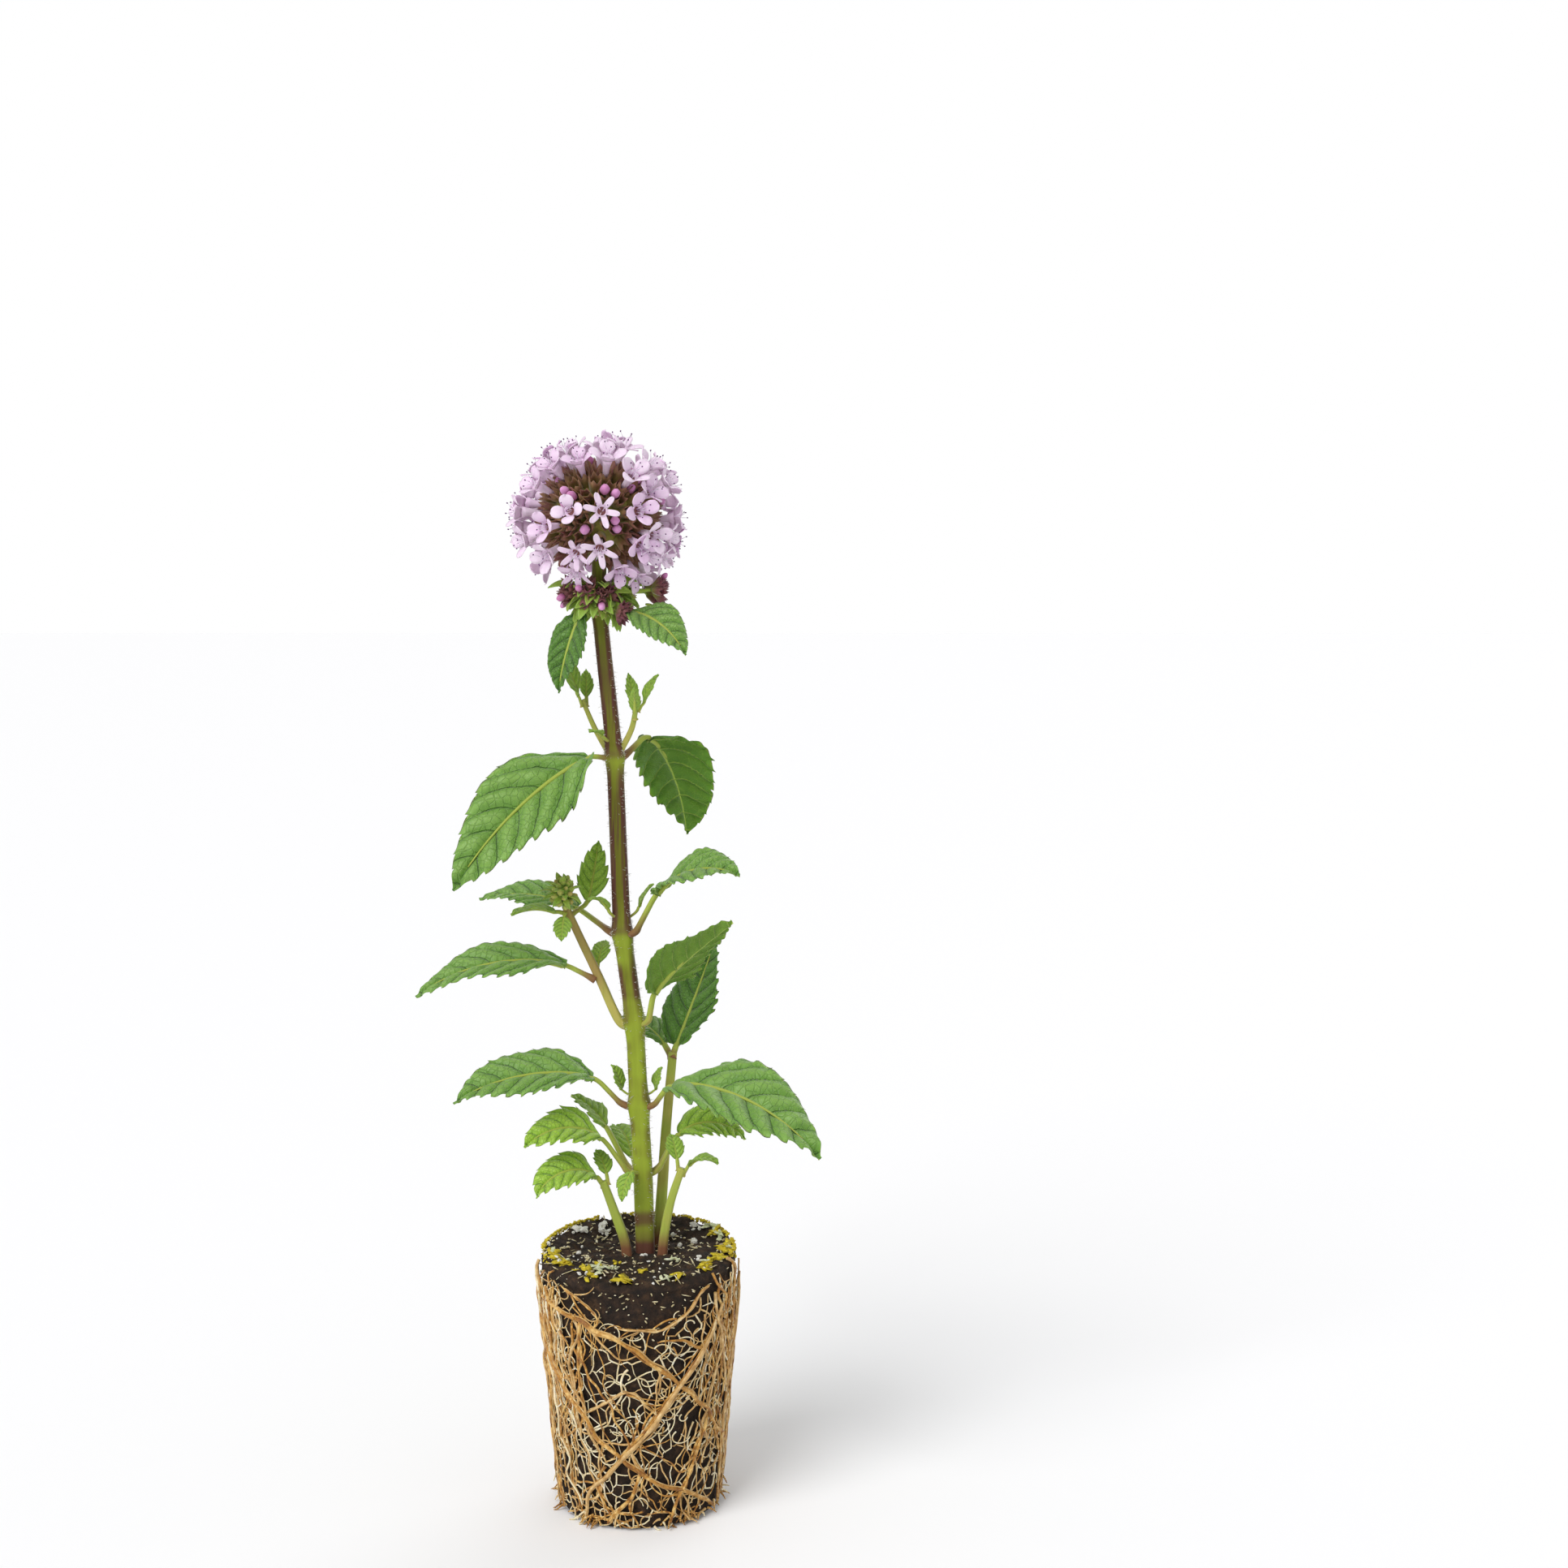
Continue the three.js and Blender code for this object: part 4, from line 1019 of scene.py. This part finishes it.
def build_whorl():
    """The ring of stalked bud clusters and small bracts under the head."""
    buds, young, bracts = [], [], []
    stalks, _ = tinted_mesh()
    for azimuth, elevation, reach in WHORL_BUDS:
        outward = heading(elevation, azimuth)
        centre = WHORL_CENTRE + outward * (reach - 3.4)
        thread_shape(stalks, WHORL_CENTRE + heading(elevation * 0.5, azimuth) * 1.2, centre, 0.45, 6)
        for _ in range(BUDS_IN_CLUSTER):
            lean = (outward + shake(0.75)).normalized()
            size = rng.uniform(0.6, 0.82)
            foot = centre + lean * rng.uniform(0.0, 0.7) - outward * 0.8
            buds.append(facing(foot, lean, rng.uniform(0, 6), size))
        for _ in range(BUDS_IN_CLUSTER):
            direction = heading(rng.uniform(-50, 25), azimuth + rng.uniform(-24, 24))
            foot = WHORL_CENTRE + direction * rng.uniform(2.0, max(2.5, reach - 5.2))
            bracts.append(facing(foot, direction, rng.uniform(-1, 1), rng.uniform(0.7, 1.05)))
    for azimuth in range(206, 352, 6):  # bracts that fan out over the front of the ring
        direction = heading(rng.uniform(-38, 30), azimuth + rng.uniform(-5, 5))
        foot = WHORL_CENTRE + direction * rng.uniform(3.0, 4.4)
        bracts.append(facing(foot, direction, rng.uniform(-1, 1), rng.uniform(0.9, 1.25)))
    for i in range(LOW_BUDS):
        direction = heading(rng.uniform(-30, 24), LOW_BUD_STEP * i)
        lean = (direction + Vector((0, 0, rng.uniform(-0.5, 0.3)))).normalized()
        foot = WHORL_CENTRE + direction * rng.uniform(2.4, 4.2)
        young.append(facing(foot, lean, rng.uniform(0, 6), rng.uniform(0.55, 0.8)))
    for name, kind, matrices, skin, slot, wall in [
        ("whorl_young_calyces", "calyx", young, GREEN_CALYX, "bud", PETAL_WALL),
        ("whorl_calyces", "calyx", buds, DARK_CALYX, "bud", PETAL_WALL),
        ("whorl_petals", "bud", buds[::10], ROSY_BUD, "flower", 0.0),
        ("whorl_bracts", "bract", bracts, BRACT, "leaf", BRACT_WALL),
    ]:
        finish_piece(name, copies((kind, matrices)), [skin], slot, "bud_whorl", wall=wall)
    finish_piece("whorl_stalks", stalks, [BRACT], "leaf", "bud_whorl")


def build_branch_buds():
    """The small green-brown cluster at the branch's tip: beads of unopened buds between little bracts."""
    tip = Vector((-13.8, -1.1, 119.9))
    beads, bracts = [], []
    for elevation, azimuth in head_directions(BRANCH_BUDS, -60):
        direction = heading(elevation, azimuth)
        squash = Vector((direction.x * 0.75, direction.y * 0.75, direction.z * 1.2))
        lean = (direction + Vector((0, 0, 0.5))).normalized()
        size = rng.uniform(0.42, 0.74)
        foot = tip + squash * rng.uniform(2.0, 2.6) - lean * 4.4 * size
        beads.append(facing(foot, lean, rng.uniform(0, 6), size))
        if rng.random() < 0.7:
            bracts.append(facing(tip + direction * 1.2, lean, rng.uniform(-0.6, 0.6), rng.uniform(0.5, 0.8)))
    bm = copies(("bud", beads))
    bmesh.ops.create_icosphere(bm, subdivisions=2, radius=1.5, matrix=Matrix.Translation(tip))
    finish_piece("branch_buds", bm, [GREEN_CALYX], "bud", "branch_bud_cluster")
    bm = copies(("bract", bracts))
    finish_piece("branch_bracts", bm, [BRACT], "leaf", "branch_bud_cluster", wall=PETAL_WALL)


# ---------------------------------------------------------------- root ball

def plug_radius(z):
    return PLUG_BASE_RADIUS + (PLUG_TOP_RADIUS - PLUG_BASE_RADIUS) * z / PLUG_HEIGHT


def crumble(point, amount):
    """Soil relief in millimetres at a point."""
    lumps = noise.fractal(point / 4.2, 0.9, 2.1, 4)
    crumbs = noise.fractal(point / 1.3 + Vector((9, 4, 2)), 0.8, 2.2, 3)
    return amount * (0.75 * lumps + 0.42 * crumbs)


def slump(degrees, z):
    """How far the front of the plug's upper side has crumbled back."""
    front = max(0.0, math.cos(math.radians(degrees - 268))) ** 2
    return 1.5 * front * smooth_step((z - 36) / 12)


def top_height(r, degrees):
    """Height of the plug's top: a shallow hollow, its rim highest at the back and lowest at the front."""
    back = 0.5 + 0.5 * math.sin(math.radians(degrees))
    return PLUG_HEIGHT + 0.3 + smooth_step((r - 12) / 6) * (3.1 * back ** 0.7 - 1.0)


def build_soil():
    bm = bmesh.new()
    sink = 1.1  # the soil lies this far behind the outer roots
    side_low, side_high = 1.4, 47.0
    side_rows, top_rows = 84, 36
    profile = [(0.01, 0.0), (6, 0.0), (12, 0.0), (PLUG_BASE_RADIUS - 1.8, 0.0), (PLUG_BASE_RADIUS - 1.2, 0.2),
               (PLUG_BASE_RADIUS - 1.1, 0.8)]
    for i in range(side_rows + 1):
        z = side_low + (side_high - side_low) * i / side_rows
        profile.append((plug_radius(z) - sink, z))
    profile += [(18.78, 47.5), (18.74, 47.9), (18.6, 48.3), (18.3, 48.65), (17.9, 48.85), (17.4, 48.96)]
    profile += [(0.01 + 16.8 * (1 - i / top_rows), PLUG_HEIGHT) for i in range(top_rows + 1)]
    verts = [bm.verts.new((x, 0, z)) for x, z in profile]
    edges = [bm.edges.new(pair) for pair in zip(verts, verts[1:])]
    bmesh.ops.spin(bm, geom=verts + edges, cent=(0, 0, 0), axis=(0, 0, 1), angle=TAU, steps=230,
                   use_merge=True)
    bmesh.ops.remove_doubles(bm, verts=bm.verts, dist=0.02)
    bmesh.ops.recalc_face_normals(bm, faces=bm.faces)
    for vert in bm.verts:
        p = vert.co.copy()
        if p.z < 1:
            continue
        r, degrees = math.hypot(p.x, p.y), math.degrees(math.atan2(p.y, p.x))
        upward = smooth_step((p.z - 46.5) / 2.2)
        out = Vector((p.x, p.y, 0)) / max(r, 0.1)
        near_stem = min(1.0, max(0.0, (r - 2.5) / 2))
        relief = crumble(p, 0.62 + 0.4 * upward) - 0.1
        vert.co += out * (relief * (1 - upward) - slump(degrees, p.z) * (1 - 0.6 * upward))
        vert.co.z += relief * upward * near_stem
        if p.z > 44:
            vert.co.z += (top_height(r, degrees) - PLUG_HEIGHT) * smooth_step((p.z - 44) / 5)
    finish_piece("soil", bm, [PEAT], "peat", "root_ball")


def net_top(degrees):
    """How high the fine net climbs: to the rim, but lower where the upper side is bare soil."""
    bareness = (0.5 + 0.5 * math.cos(math.radians(3 * (degrees - 270)))) ** 0.8
    return 48.0 - 9.0 * bareness


def round_plug(degrees):
    """Distance round the plug's side for an angle."""
    return math.radians(degrees) * PLUG_MEAN_RADIUS


def wrapped(along, z, lift):
    """The place on the plug's side for a distance round it and a height, lifted off the soil."""
    angle = along / PLUG_MEAN_RADIUS
    r = plug_radius(min(z, PLUG_HEIGHT)) - 0.6 - slump(math.degrees(angle), z) + lift
    if z > 47.5:
        r -= (z - 47.5) ** 2 * 0.2
    return polar(r, angle, z)


def creeping(x, z, drift, length, radius, seed, lift=0.2, sway=0.3):
    """A root that creeps over the plug's side from a place on it, thinning to its tip."""
    strand = []
    steps = int(length / ROOT_STEP)
    for k in range(steps):
        bend = Vector((waver(x / 3, z / 3, seed), waver(z / 3, seed, x / 3)))
        drift = (drift + bend * sway).normalized()
        x += drift.x * ROOT_STEP
        z += drift.y * ROOT_STEP
        if not 0.4 < z < ROOT_TOP:
            break
        strand.append((wrapped(x, z, lift + 0.2 * bend.x), radius * (1 - 0.65 * k / steps)))
    return strand


def cell_links():
    """Corners of rounded cells on the unrolled side, and the corners that each one is joined to."""
    width, margin = TAU * PLUG_MEAN_RADIUS, 6.0
    seeds = []
    while len(seeds) < NET_CELLS:
        z = rng.uniform(-2, 48)
        if z > 7 or rng.random() < 0.6:
            seeds.append((rng.uniform(0, width), z))
    before = [(x - width, z) for x, z in seeds if x > width - margin]
    after = [(x + width, z) for x, z in seeds if x < margin]
    seeds += before + after
    points, _, triangles, *_ = delaunay_2d_cdt([Vector(seed) for seed in seeds], [], [], 0, 1e-6)
    centres = []
    shared = {}
    for index, triangle in enumerate(triangles):
        a, b, c = [points[i] for i in triangle]
        area = 2 * (a.x * (b.y - c.y) + b.x * (c.y - a.y) + c.x * (a.y - b.y))
        if abs(area) < 1e-6:
            centres.append((a + b + c) / 3)
        else:
            aa, bb, cc = a.length_squared, b.length_squared, c.length_squared
            centres.append(Vector(((aa * (b.y - c.y) + bb * (c.y - a.y) + cc * (a.y - b.y)) / area,
                                   (aa * (c.x - b.x) + bb * (a.x - c.x) + cc * (b.x - a.x)) / area)))
        for i in range(3):
            shared.setdefault(frozenset((triangle[i], triangle[(i + 1) % 3])), []).append(index)
    links = {}
    for pair in shared.values():
        if len(pair) == 2 and (centres[pair[0]] - centres[pair[1]]).length < 6:
            for a, b in (pair, pair[::-1]):
                links.setdefault(a, []).append(b)
    return centres, links


def root_net():
    """Chains of unrolled points along the edges of rounded cells, as fine roots grow round crumbs."""
    centres, links = cell_links()
    used = set()
    chains = []
    for start in sorted(links, key=lambda i: (-centres[i].y, centres[i].x)):
        for first in links[start]:
            if frozenset((start, first)) in used:
                continue
            chain = [start, first]
            used.add(frozenset(chain))
            while len(chain) < 26:
                last, end = chain[-2:]
                onward = (centres[end] - centres[last]).normalized()
                options = [n for n in links[end] if frozenset((end, n)) not in used and n != last]
                if not options:
                    break
                chain.append(max(options, key=lambda n: (centres[n] - centres[end]).normalized().dot(onward)))
                used.add(frozenset(chain[-2:]))
            if 0 <= centres[start].x < TAU * PLUG_MEAN_RADIUS:
                chains.append([centres[i] for i in chain])
    return chains


def root_strands(name, strands, sides):
    """A piece of round strands: each is a list of (point, radius) and the number of its skin.

    The curve is in metres, so Blender joins points of a strand that are less than 0.01 mm apart.
    """
    curve = bpy.data.curves.new(name, "CURVE")
    curve.dimensions = "3D"
    curve.bevel_depth = 0.001
    curve.bevel_resolution = sides
    curve.use_fill_caps = True
    curve.resolution_u = 1
    skins = [OLD_ROOT, ROOT, YOUNG_ROOT]
    for skin in skins:
        curve.materials.append(skin)
    for points, skin in strands:
        spline = curve.splines.new("POLY")
        spline.points.add(len(points) - 1)
        spline.material_index = skin
        for knot, (place, radius) in zip(spline.points, points):
            knot.co = (*(place / 1000), 1.0)
            knot.radius = radius
    holder = placed(name + "_curve", curve)
    mesh = bpy.data.meshes.new_from_object(holder.evaluated_get(bpy.context.evaluated_depsgraph_get()))
    bm = bmesh.new()
    bm.from_mesh(mesh)
    for data, used in ((bpy.data.objects, holder), (bpy.data.curves, curve), (bpy.data.meshes, mesh)):
        data.remove(used)
    finish_piece(name, bm, skins, "peat", "root_ball", unit=1.0)


def thick_lines():
    """The listed thick roots, then looser ones that cross the plug's back."""
    lines = list(THICK_ROOTS)
    for i in range(BACK_ROOTS):
        start = 8 + 176 * i / BACK_ROOTS + rng.uniform(-6, 6)
        turn = rng.choice((-1, 1)) * rng.uniform(25, 85)
        top = net_top(start) - rng.uniform(0, 3)
        foot = rng.uniform(0.8, 9)
        bow = rng.uniform(-9, 9)
        line = [(start + turn * t + bow * math.sin(t * math.pi), top + (foot - top) * t)
                for t in (0, 0.2, 0.4, 0.6, 0.8, 1)]
        lines.append((line, rng.uniform(0.34, 0.62)))
    return lines


def thick_strands():
    """The thick roots and the side roots they give off; then the thin fibres that run beside each of them."""
    strands, fibres = [], []
    steps = 64
    for seed, (line, radius) in enumerate(thick_lines()):
        points = smooth_path([Vector((round_plug(degrees), z, 0)) for degrees, z in line], steps)
        strand, beside = [], {-1: [], 1: []}
        for k, p in enumerate(points):
            wobble = waver(p.x / 4, p.y / 4, seed)
            swell = 1 + 0.35 * waver(k / 5, seed, 3)
            girth = radius * (1.12 - 0.5 * k / steps) * (0.45 + 0.55 * min(1.0, k / 9)) * swell
            x, z = p.x + 0.5 * wobble, min(ROOT_TOP, max(0.7, p.y + 0.5 * wobble))
            strand.append((wrapped(x, z, girth * 0.5 + 0.25 + 0.2 * wobble), girth * 0.68))
            ahead = (points[min(k + 1, steps)] - points[max(k - 1, 0)]).normalized()
            for way, fibre in beside.items():
                apart = way * girth * (0.72 + 0.8 * waver(k / 6, seed, way))
                height = min(ROOT_TOP, max(0.5, z + ahead.x * apart))
                lift = girth * 0.4 + 0.2 + 0.2 * wobble
                fibre.append((wrapped(x - ahead.y * apart, height, lift), girth * 0.3))
            if 5 < k < 60 and rng.random() < 0.085:
                onward = Vector((points[k + 1] - p).xy).normalized()
                onward.rotate(Matrix.Rotation(rng.choice((-1, 1)) * rng.uniform(0.3, 0.7), 2))
                length, thinner = rng.uniform(5, 16), rng.uniform(0.4, 0.65)
                side_root = creeping(p.x, z, onward, length, girth * thinner, seed + k, 0.3, 0.5)
                strands.append((side_root, rng.choice((0, 0, 1))))
        strands.append((strand, 0 if rng.random() < 0.75 else 1))
        fibres += [(beside[-1], 0), (beside[1], 1)]
    return [strand for strand in strands if len(strand[0]) > 3], fibres


def edge_bundles():
    """Near-parallel roots that hang from the rim where the soil isn't bare."""
    strands = []
    for middle in BUNDLES:
        for i in range(BUNDLE_ROOTS):
            x = round_plug(middle + rng.gauss(0, 12))
            top = z = rng.uniform(36, 50.2)
            foot = rng.choice((rng.uniform(0.6, 6), rng.uniform(6, 34)))
            slant = rng.uniform(-0.45, 0.45)
            radius = rng.choice((rng.uniform(0.1, 0.2), rng.uniform(0.15, 0.36)))
            lift = rng.uniform(0.1, 0.6)
            strand = []
            while z > foot:
                x += (slant + 1.9 * waver(x / 3, z / 4, i)) * ROOT_STEP
                thinning = 1 - 0.5 * (top - z) / (top - foot)
                strand.append((wrapped(x, z, lift + 0.3 * waver(x / 3, z / 3, i)), radius * thinning))
                z -= ROOT_STEP
            strands.append((strand, rng.choice((1, 1, 2, 0, 0))))
    return strands


def wandering_strands():
    """Middling roots that run down and sideways over the net."""
    strands = []
    for i in range(WANDERING_ROOTS):
        degrees = rng.uniform(0, 360)
        z = rng.uniform(6, net_top(degrees) - 1)
        drift = Vector((rng.choice((-1, 1)) * rng.uniform(0.3, 2.2), -1.0)).normalized()
        length, radius, lift = rng.uniform(10, 34), rng.uniform(0.15, 0.28), rng.uniform(0.1, 0.4)
        strand = creeping(round_plug(degrees), z, drift, length, radius, i, lift, 0.6)
        if len(strand) > 6:
            strands.append((strand, rng.choice((0, 0, 1, 2))))
    return strands


def foot_strands():
    """Golden roots that run round the plug's foot."""
    strands = []
    for i in range(FOOT_ROOTS):
        drift = Vector((rng.choice((-1, 1)), rng.uniform(-0.4, 0.3))).normalized()
        x, z = rng.uniform(0, TAU) * PLUG_MEAN_RADIUS, rng.uniform(0.6, 4.5)
        length, radius, lift = rng.uniform(4, 12), rng.uniform(0.12, 0.26), rng.uniform(0.1, 0.35)
        strand = creeping(x, z, drift, length, radius, i, lift, 0.6)
        if len(strand) > 4:
            strands.append((strand, rng.choice((0, 0, 1))))
    return strands


def curls():
    """Thin cream loops and hooks lying on the net."""
    strands = []
    for _ in range(CURLS):
        degrees = rng.uniform(0, 360)
        middle = rng.uniform(1.5, net_top(degrees) + 1)
        size = rng.uniform(0.8, 2.2)
        oval = rng.uniform(0.6, 1.0)
        begin = rng.uniform(0, TAU)
        sweep = rng.choice((-1, 1)) * rng.uniform(1.6, 4.6)
        strand = []
        for t in [k / 12 for k in range(13)]:
            angle = begin + sweep * t
            x = round_plug(degrees) + size * math.cos(angle)
            z = min(46.5, max(0.4, middle + size * oval * math.sin(angle)))
            strand.append((wrapped(x, z, 0.12 + 0.3 * t), 0.15 - 0.06 * t))
        strands.append((strand, rng.choice((1, 2, 2))))
    return strands


def net_strands():
    """The fine net: pale wavy roots along the edges of the cells."""
    strands = []
    for line in root_net():
        length = sum((b - a).length for a, b in zip(line, line[1:]))
        points = smooth_path([Vector((*p, 0)) for p in line], max(2, int(length / ROOT_STEP)))
        radius = rng.uniform(0.1, 0.19)
        shift = rng.uniform(-0.1, 0.3)
        strand = []
        for i, p in enumerate(points):
            sway = Vector((waver(p.x / 1.6, p.y / 1.6, shift * 9), waver(p.y / 1.6, p.x / 1.6, 7)))
            z = p.y + 0.5 * sway.y
            if not 0.25 < z < net_top(math.degrees(p.x / PLUG_MEAN_RADIUS)) + 2.5 * sway.x:
                continue
            taper = 0.55 + 0.45 * min(1.0, (len(points) - i) / 6)
            place = wrapped(p.x + 0.5 * sway.x, z, 0.05 + shift * 0.6 + 0.15 * sway.x)
            strand.append((place, radius * taper))
        if len(strand) > 2:
            strands.append((strand, 2 if rng.random() < 0.6 else 1))
    return strands


def tip_strands():
    """Loose ends that stick out, most of them round the plug's foot."""
    strands = []
    for i in range(ROOT_TIPS):
        degrees = rng.uniform(0, 360) if i % 3 else rng.gauss(rng.choice(TIP_CLUSTERS), 5)
        z = rng.uniform(0.4, 2.5) if i % 5 else rng.uniform(4, 46)
        start = wrapped(round_plug(degrees), z, 0.2)
        outward = heading(rng.uniform(-35, 25), degrees + rng.uniform(-65, 65))
        length = rng.uniform(0.7, 2.2)
        points = []
        for t in [k / 5 for k in range(6)]:
            p = start + outward * length * t + Vector((0, 0, -0.8 * t * t))
            p.z = max(0.2, p.z)
            points.append((p, 0.26 * (1 - 0.7 * t)))
        strands.append((points, rng.choice((0, 0, 1, 2))))
    return strands


def build_roots():
    root_strands("root_net", net_strands() + curls(), 1)
    thick, fibres = thick_strands()
    root_strands("root_bundles", edge_bundles() + wandering_strands() + foot_strands() + fibres, 1)
    root_strands("root_thick", thick, 3)
    root_strands("root_tips", tip_strands(), 1)


# ---------------------------------------------------------------- moss, dry bits and perlite

def scatter(name, skin, spots, detail):
    """Lumps of matter: each spot is (place, half sizes); `detail` 2 gives the larger, rougher ones."""
    bm = bmesh.new()
    for spot, sizes in spots:
        turn = Euler((rng.gauss(0, 0.35), rng.gauss(0, 0.35), rng.uniform(0, TAU))).to_matrix().to_4x4()
        matrix = Matrix.Translation(spot) @ turn @ Matrix.Diagonal((*sizes, 1))
        for vert in bmesh.ops.create_icosphere(bm, subdivisions=detail, radius=1.0, matrix=matrix)["verts"]:
            away = vert.co - spot
            vert.co += away * (0.75 * noise.noise(vert.co * 1.4) + 0.4 * noise.noise(vert.co * 4))
    finish_piece(name, bm, [skin], "peat", "root_ball", flat=detail == 2)


def top_spot(r, degrees, lift):
    """A place on the plug's top, or over its rounded rim."""
    shrink = slump(degrees, 48) * 0.5 * smooth_step((r - 12) / 6)
    z = top_height(r, degrees) + lift - 0.6 * max(0.0, r - 17.8) ** 2
    return polar(r - shrink, math.radians(degrees), z)


def near(distance, middle, spread, turn_spread):
    """A random place near one on the plug's top: distance from the axis, and degrees round it."""
    return rng.gauss(distance, spread), middle + math.degrees(rng.gauss(0, turn_spread) / distance)


def moss_spots():
    """The mossy ridge round the sides and back of the rim, then the mats in front."""
    spots = []
    for _ in range(RIM_MOSS):
        degrees = rng.uniform(0, 360)
        front = max(0.0, math.cos(math.radians(degrees - 270)))
        if rng.random() < 2.4 * front or waver(degrees / 12, 1, 0) < -0.2:
            continue
        r = rng.gauss(18.35, 0.22)
        sizes = [rng.uniform(0.2, 0.6), rng.uniform(0.15, 0.4), rng.uniform(0.12, 0.32)]
        spots.append((top_spot(r, degrees, rng.uniform(-0.1, 0.6)), sizes))
    for distance, middle, count, longest in MOSS_MATS:
        for _ in range(count):
            spread = 0.7 if count > 3 else 0.3
            r, degrees = near(distance, middle, spread, spread * 1.3)
            long = longest * rng.uniform(0.45, 1.0)
            place = top_spot(r, degrees, rng.uniform(0.1, 0.5))
            spots.append((place, [long, long * rng.uniform(0.35, 0.6), rng.uniform(0.14, 0.28)]))
    return spots


def pale_spots():
    spots = []
    for distance, middle, long in PALE_FLAKES:
        for _ in range(4):
            r, degrees = near(distance, middle, 0.5, 0.7)
            size = long * rng.uniform(0.4, 1.0)
            place = top_spot(r, degrees, rng.uniform(0.35, 0.7))
            spots.append((place, [size, size * rng.uniform(0.35, 0.55), 0.2]))
    return spots


def dry_spots_on_top():
    spots = []
    for _ in range(DRY_BITS):
        r = 1.5 + 17 * math.sqrt(rng.random())
        if waver(r / 2.5, rng.random(), 3) < -0.25:
            continue
        long = 0.2 + 1.1 * rng.random() ** 2.5
        place = top_spot(r, rng.uniform(0, 360), 0.2)
        spots.append((place, [long, rng.uniform(0.08, 0.3), rng.uniform(0.06, 0.16)]))
    return spots


def perlite_spots():
    """Grains in small groups, then fine ones anywhere on the top."""
    spots = []
    for distance, middle, long in PERLITE_GRAINS:
        for _ in range(3):
            r, degrees = near(distance, middle, long * 0.4, long * 0.5)
            size = long * rng.uniform(0.4, 0.8)
            spots.append((top_spot(r, degrees, size * 0.4), [size, size * 0.7, size * 0.5]))
    for _ in range(PERLITE_DUST):
        r = 3 + 15 * math.sqrt(rng.random())
        size = 0.12 + 0.5 * rng.random() ** 3
        place = top_spot(r, rng.uniform(0, 360), 0.2)
        spots.append((place, [size * rng.uniform(0.7, 1.3) for _ in range(3)]))
    return spots


def dry_spots_below_rim():
    """Fibre bits in the bare soil of the upper side."""
    spots = []
    for _ in range(FIBRE_BITS):
        degrees = rng.uniform(0, 360)
        z = 48.5 - 12 * rng.random()
        if z < net_top(degrees) - 2:
            continue
        place = polar(plug_radius(z) - 1.0 - slump(degrees, z), math.radians(degrees), z)
        long = 0.12 + 0.9 * rng.random() ** 2
        spots.append((place, [long, rng.uniform(0.08, 0.18), rng.uniform(0.08, 0.14)]))
    return spots


def build_crust():
    moss, pale, dry, perlite = moss_spots(), pale_spots(), dry_spots_on_top(), perlite_spots()
    dry += dry_spots_below_rim()
    scatter("moss", MOSS, moss, 1)
    scatter("moss_bleached", PALE_MOSS, pale, 2)
    scatter("dry_fibre", DRY_MOSS, dry, 1)
    scatter("perlite", PERLITE, perlite, 2)


# ---------------------------------------------------------------- stage

def build_floor():
    """A wide matt white floor."""
    m, white = new_material("backdrop, matt white paper", "#F7F7F8")
    shader = add(m, "BsdfPrincipled", {"Base Color": white, "Roughness": 0.9})
    add(m, "OutputMaterial", shader)
    bm = bmesh.new()
    bmesh.ops.create_grid(bm, x_segments=1, y_segments=1, size=FLOOR_HALF)
    mesh = bpy.data.meshes.new("floor")
    bm.to_mesh(mesh)
    bm.free()
    mesh.materials.append(m)
    placed("floor", mesh)


def build_light():
    """A white surround that lights less than it looks, a broad key from the left and a weak back light."""
    world = bpy.data.worlds.new("studio")
    world.use_nodes = True
    world.node_tree.nodes.clear()
    seen = add(world, "LightPath", out="Is Camera Ray")
    strength = add(world, "MapRange", {"Value": seen, "To Min": 0.55, "To Max": 1.0})
    add(world, "OutputWorld", add(world, "Background", (1.0, 1.0, 1.0, 1.0), strength))
    bpy.context.scene.world = world
    for name, toward, angle, power in [
        ("key", (-0.55, -0.75, 0.9), 35, 1.95),
        ("back", (0.45, 0.8, 0.6), 50, 0.55),
    ]:
        light = bpy.data.lights.new(name, "SUN")
        light.angle = math.radians(angle)
        light.energy = power
        placed(name, light).rotation_euler = Vector(toward).to_track_quat("Z", "Y").to_euler()


def build_camera():
    scene = bpy.context.scene
    camera = bpy.data.cameras.new("camera")
    camera.sensor_width = SENSOR
    camera.lens = SENSOR * LENS_PER_SENSOR
    camera.clip_start = 0.01
    camera.clip_end = 20
    scene.camera = placed("camera", camera)
    scene.camera.location = CAMERA_PLACE
    scene.camera.rotation_euler = (math.radians(90 - CAMERA_DROP), 0, 0)
    scene.view_settings.view_transform = "Standard"


build_soil()
build_roots()
build_crust()
build_main_stem()
build_hairs()
build_shoots()
build_leaves()
build_flower_head()
build_whorl()
build_branch_buds()
build_floor()
build_light()
build_camera()
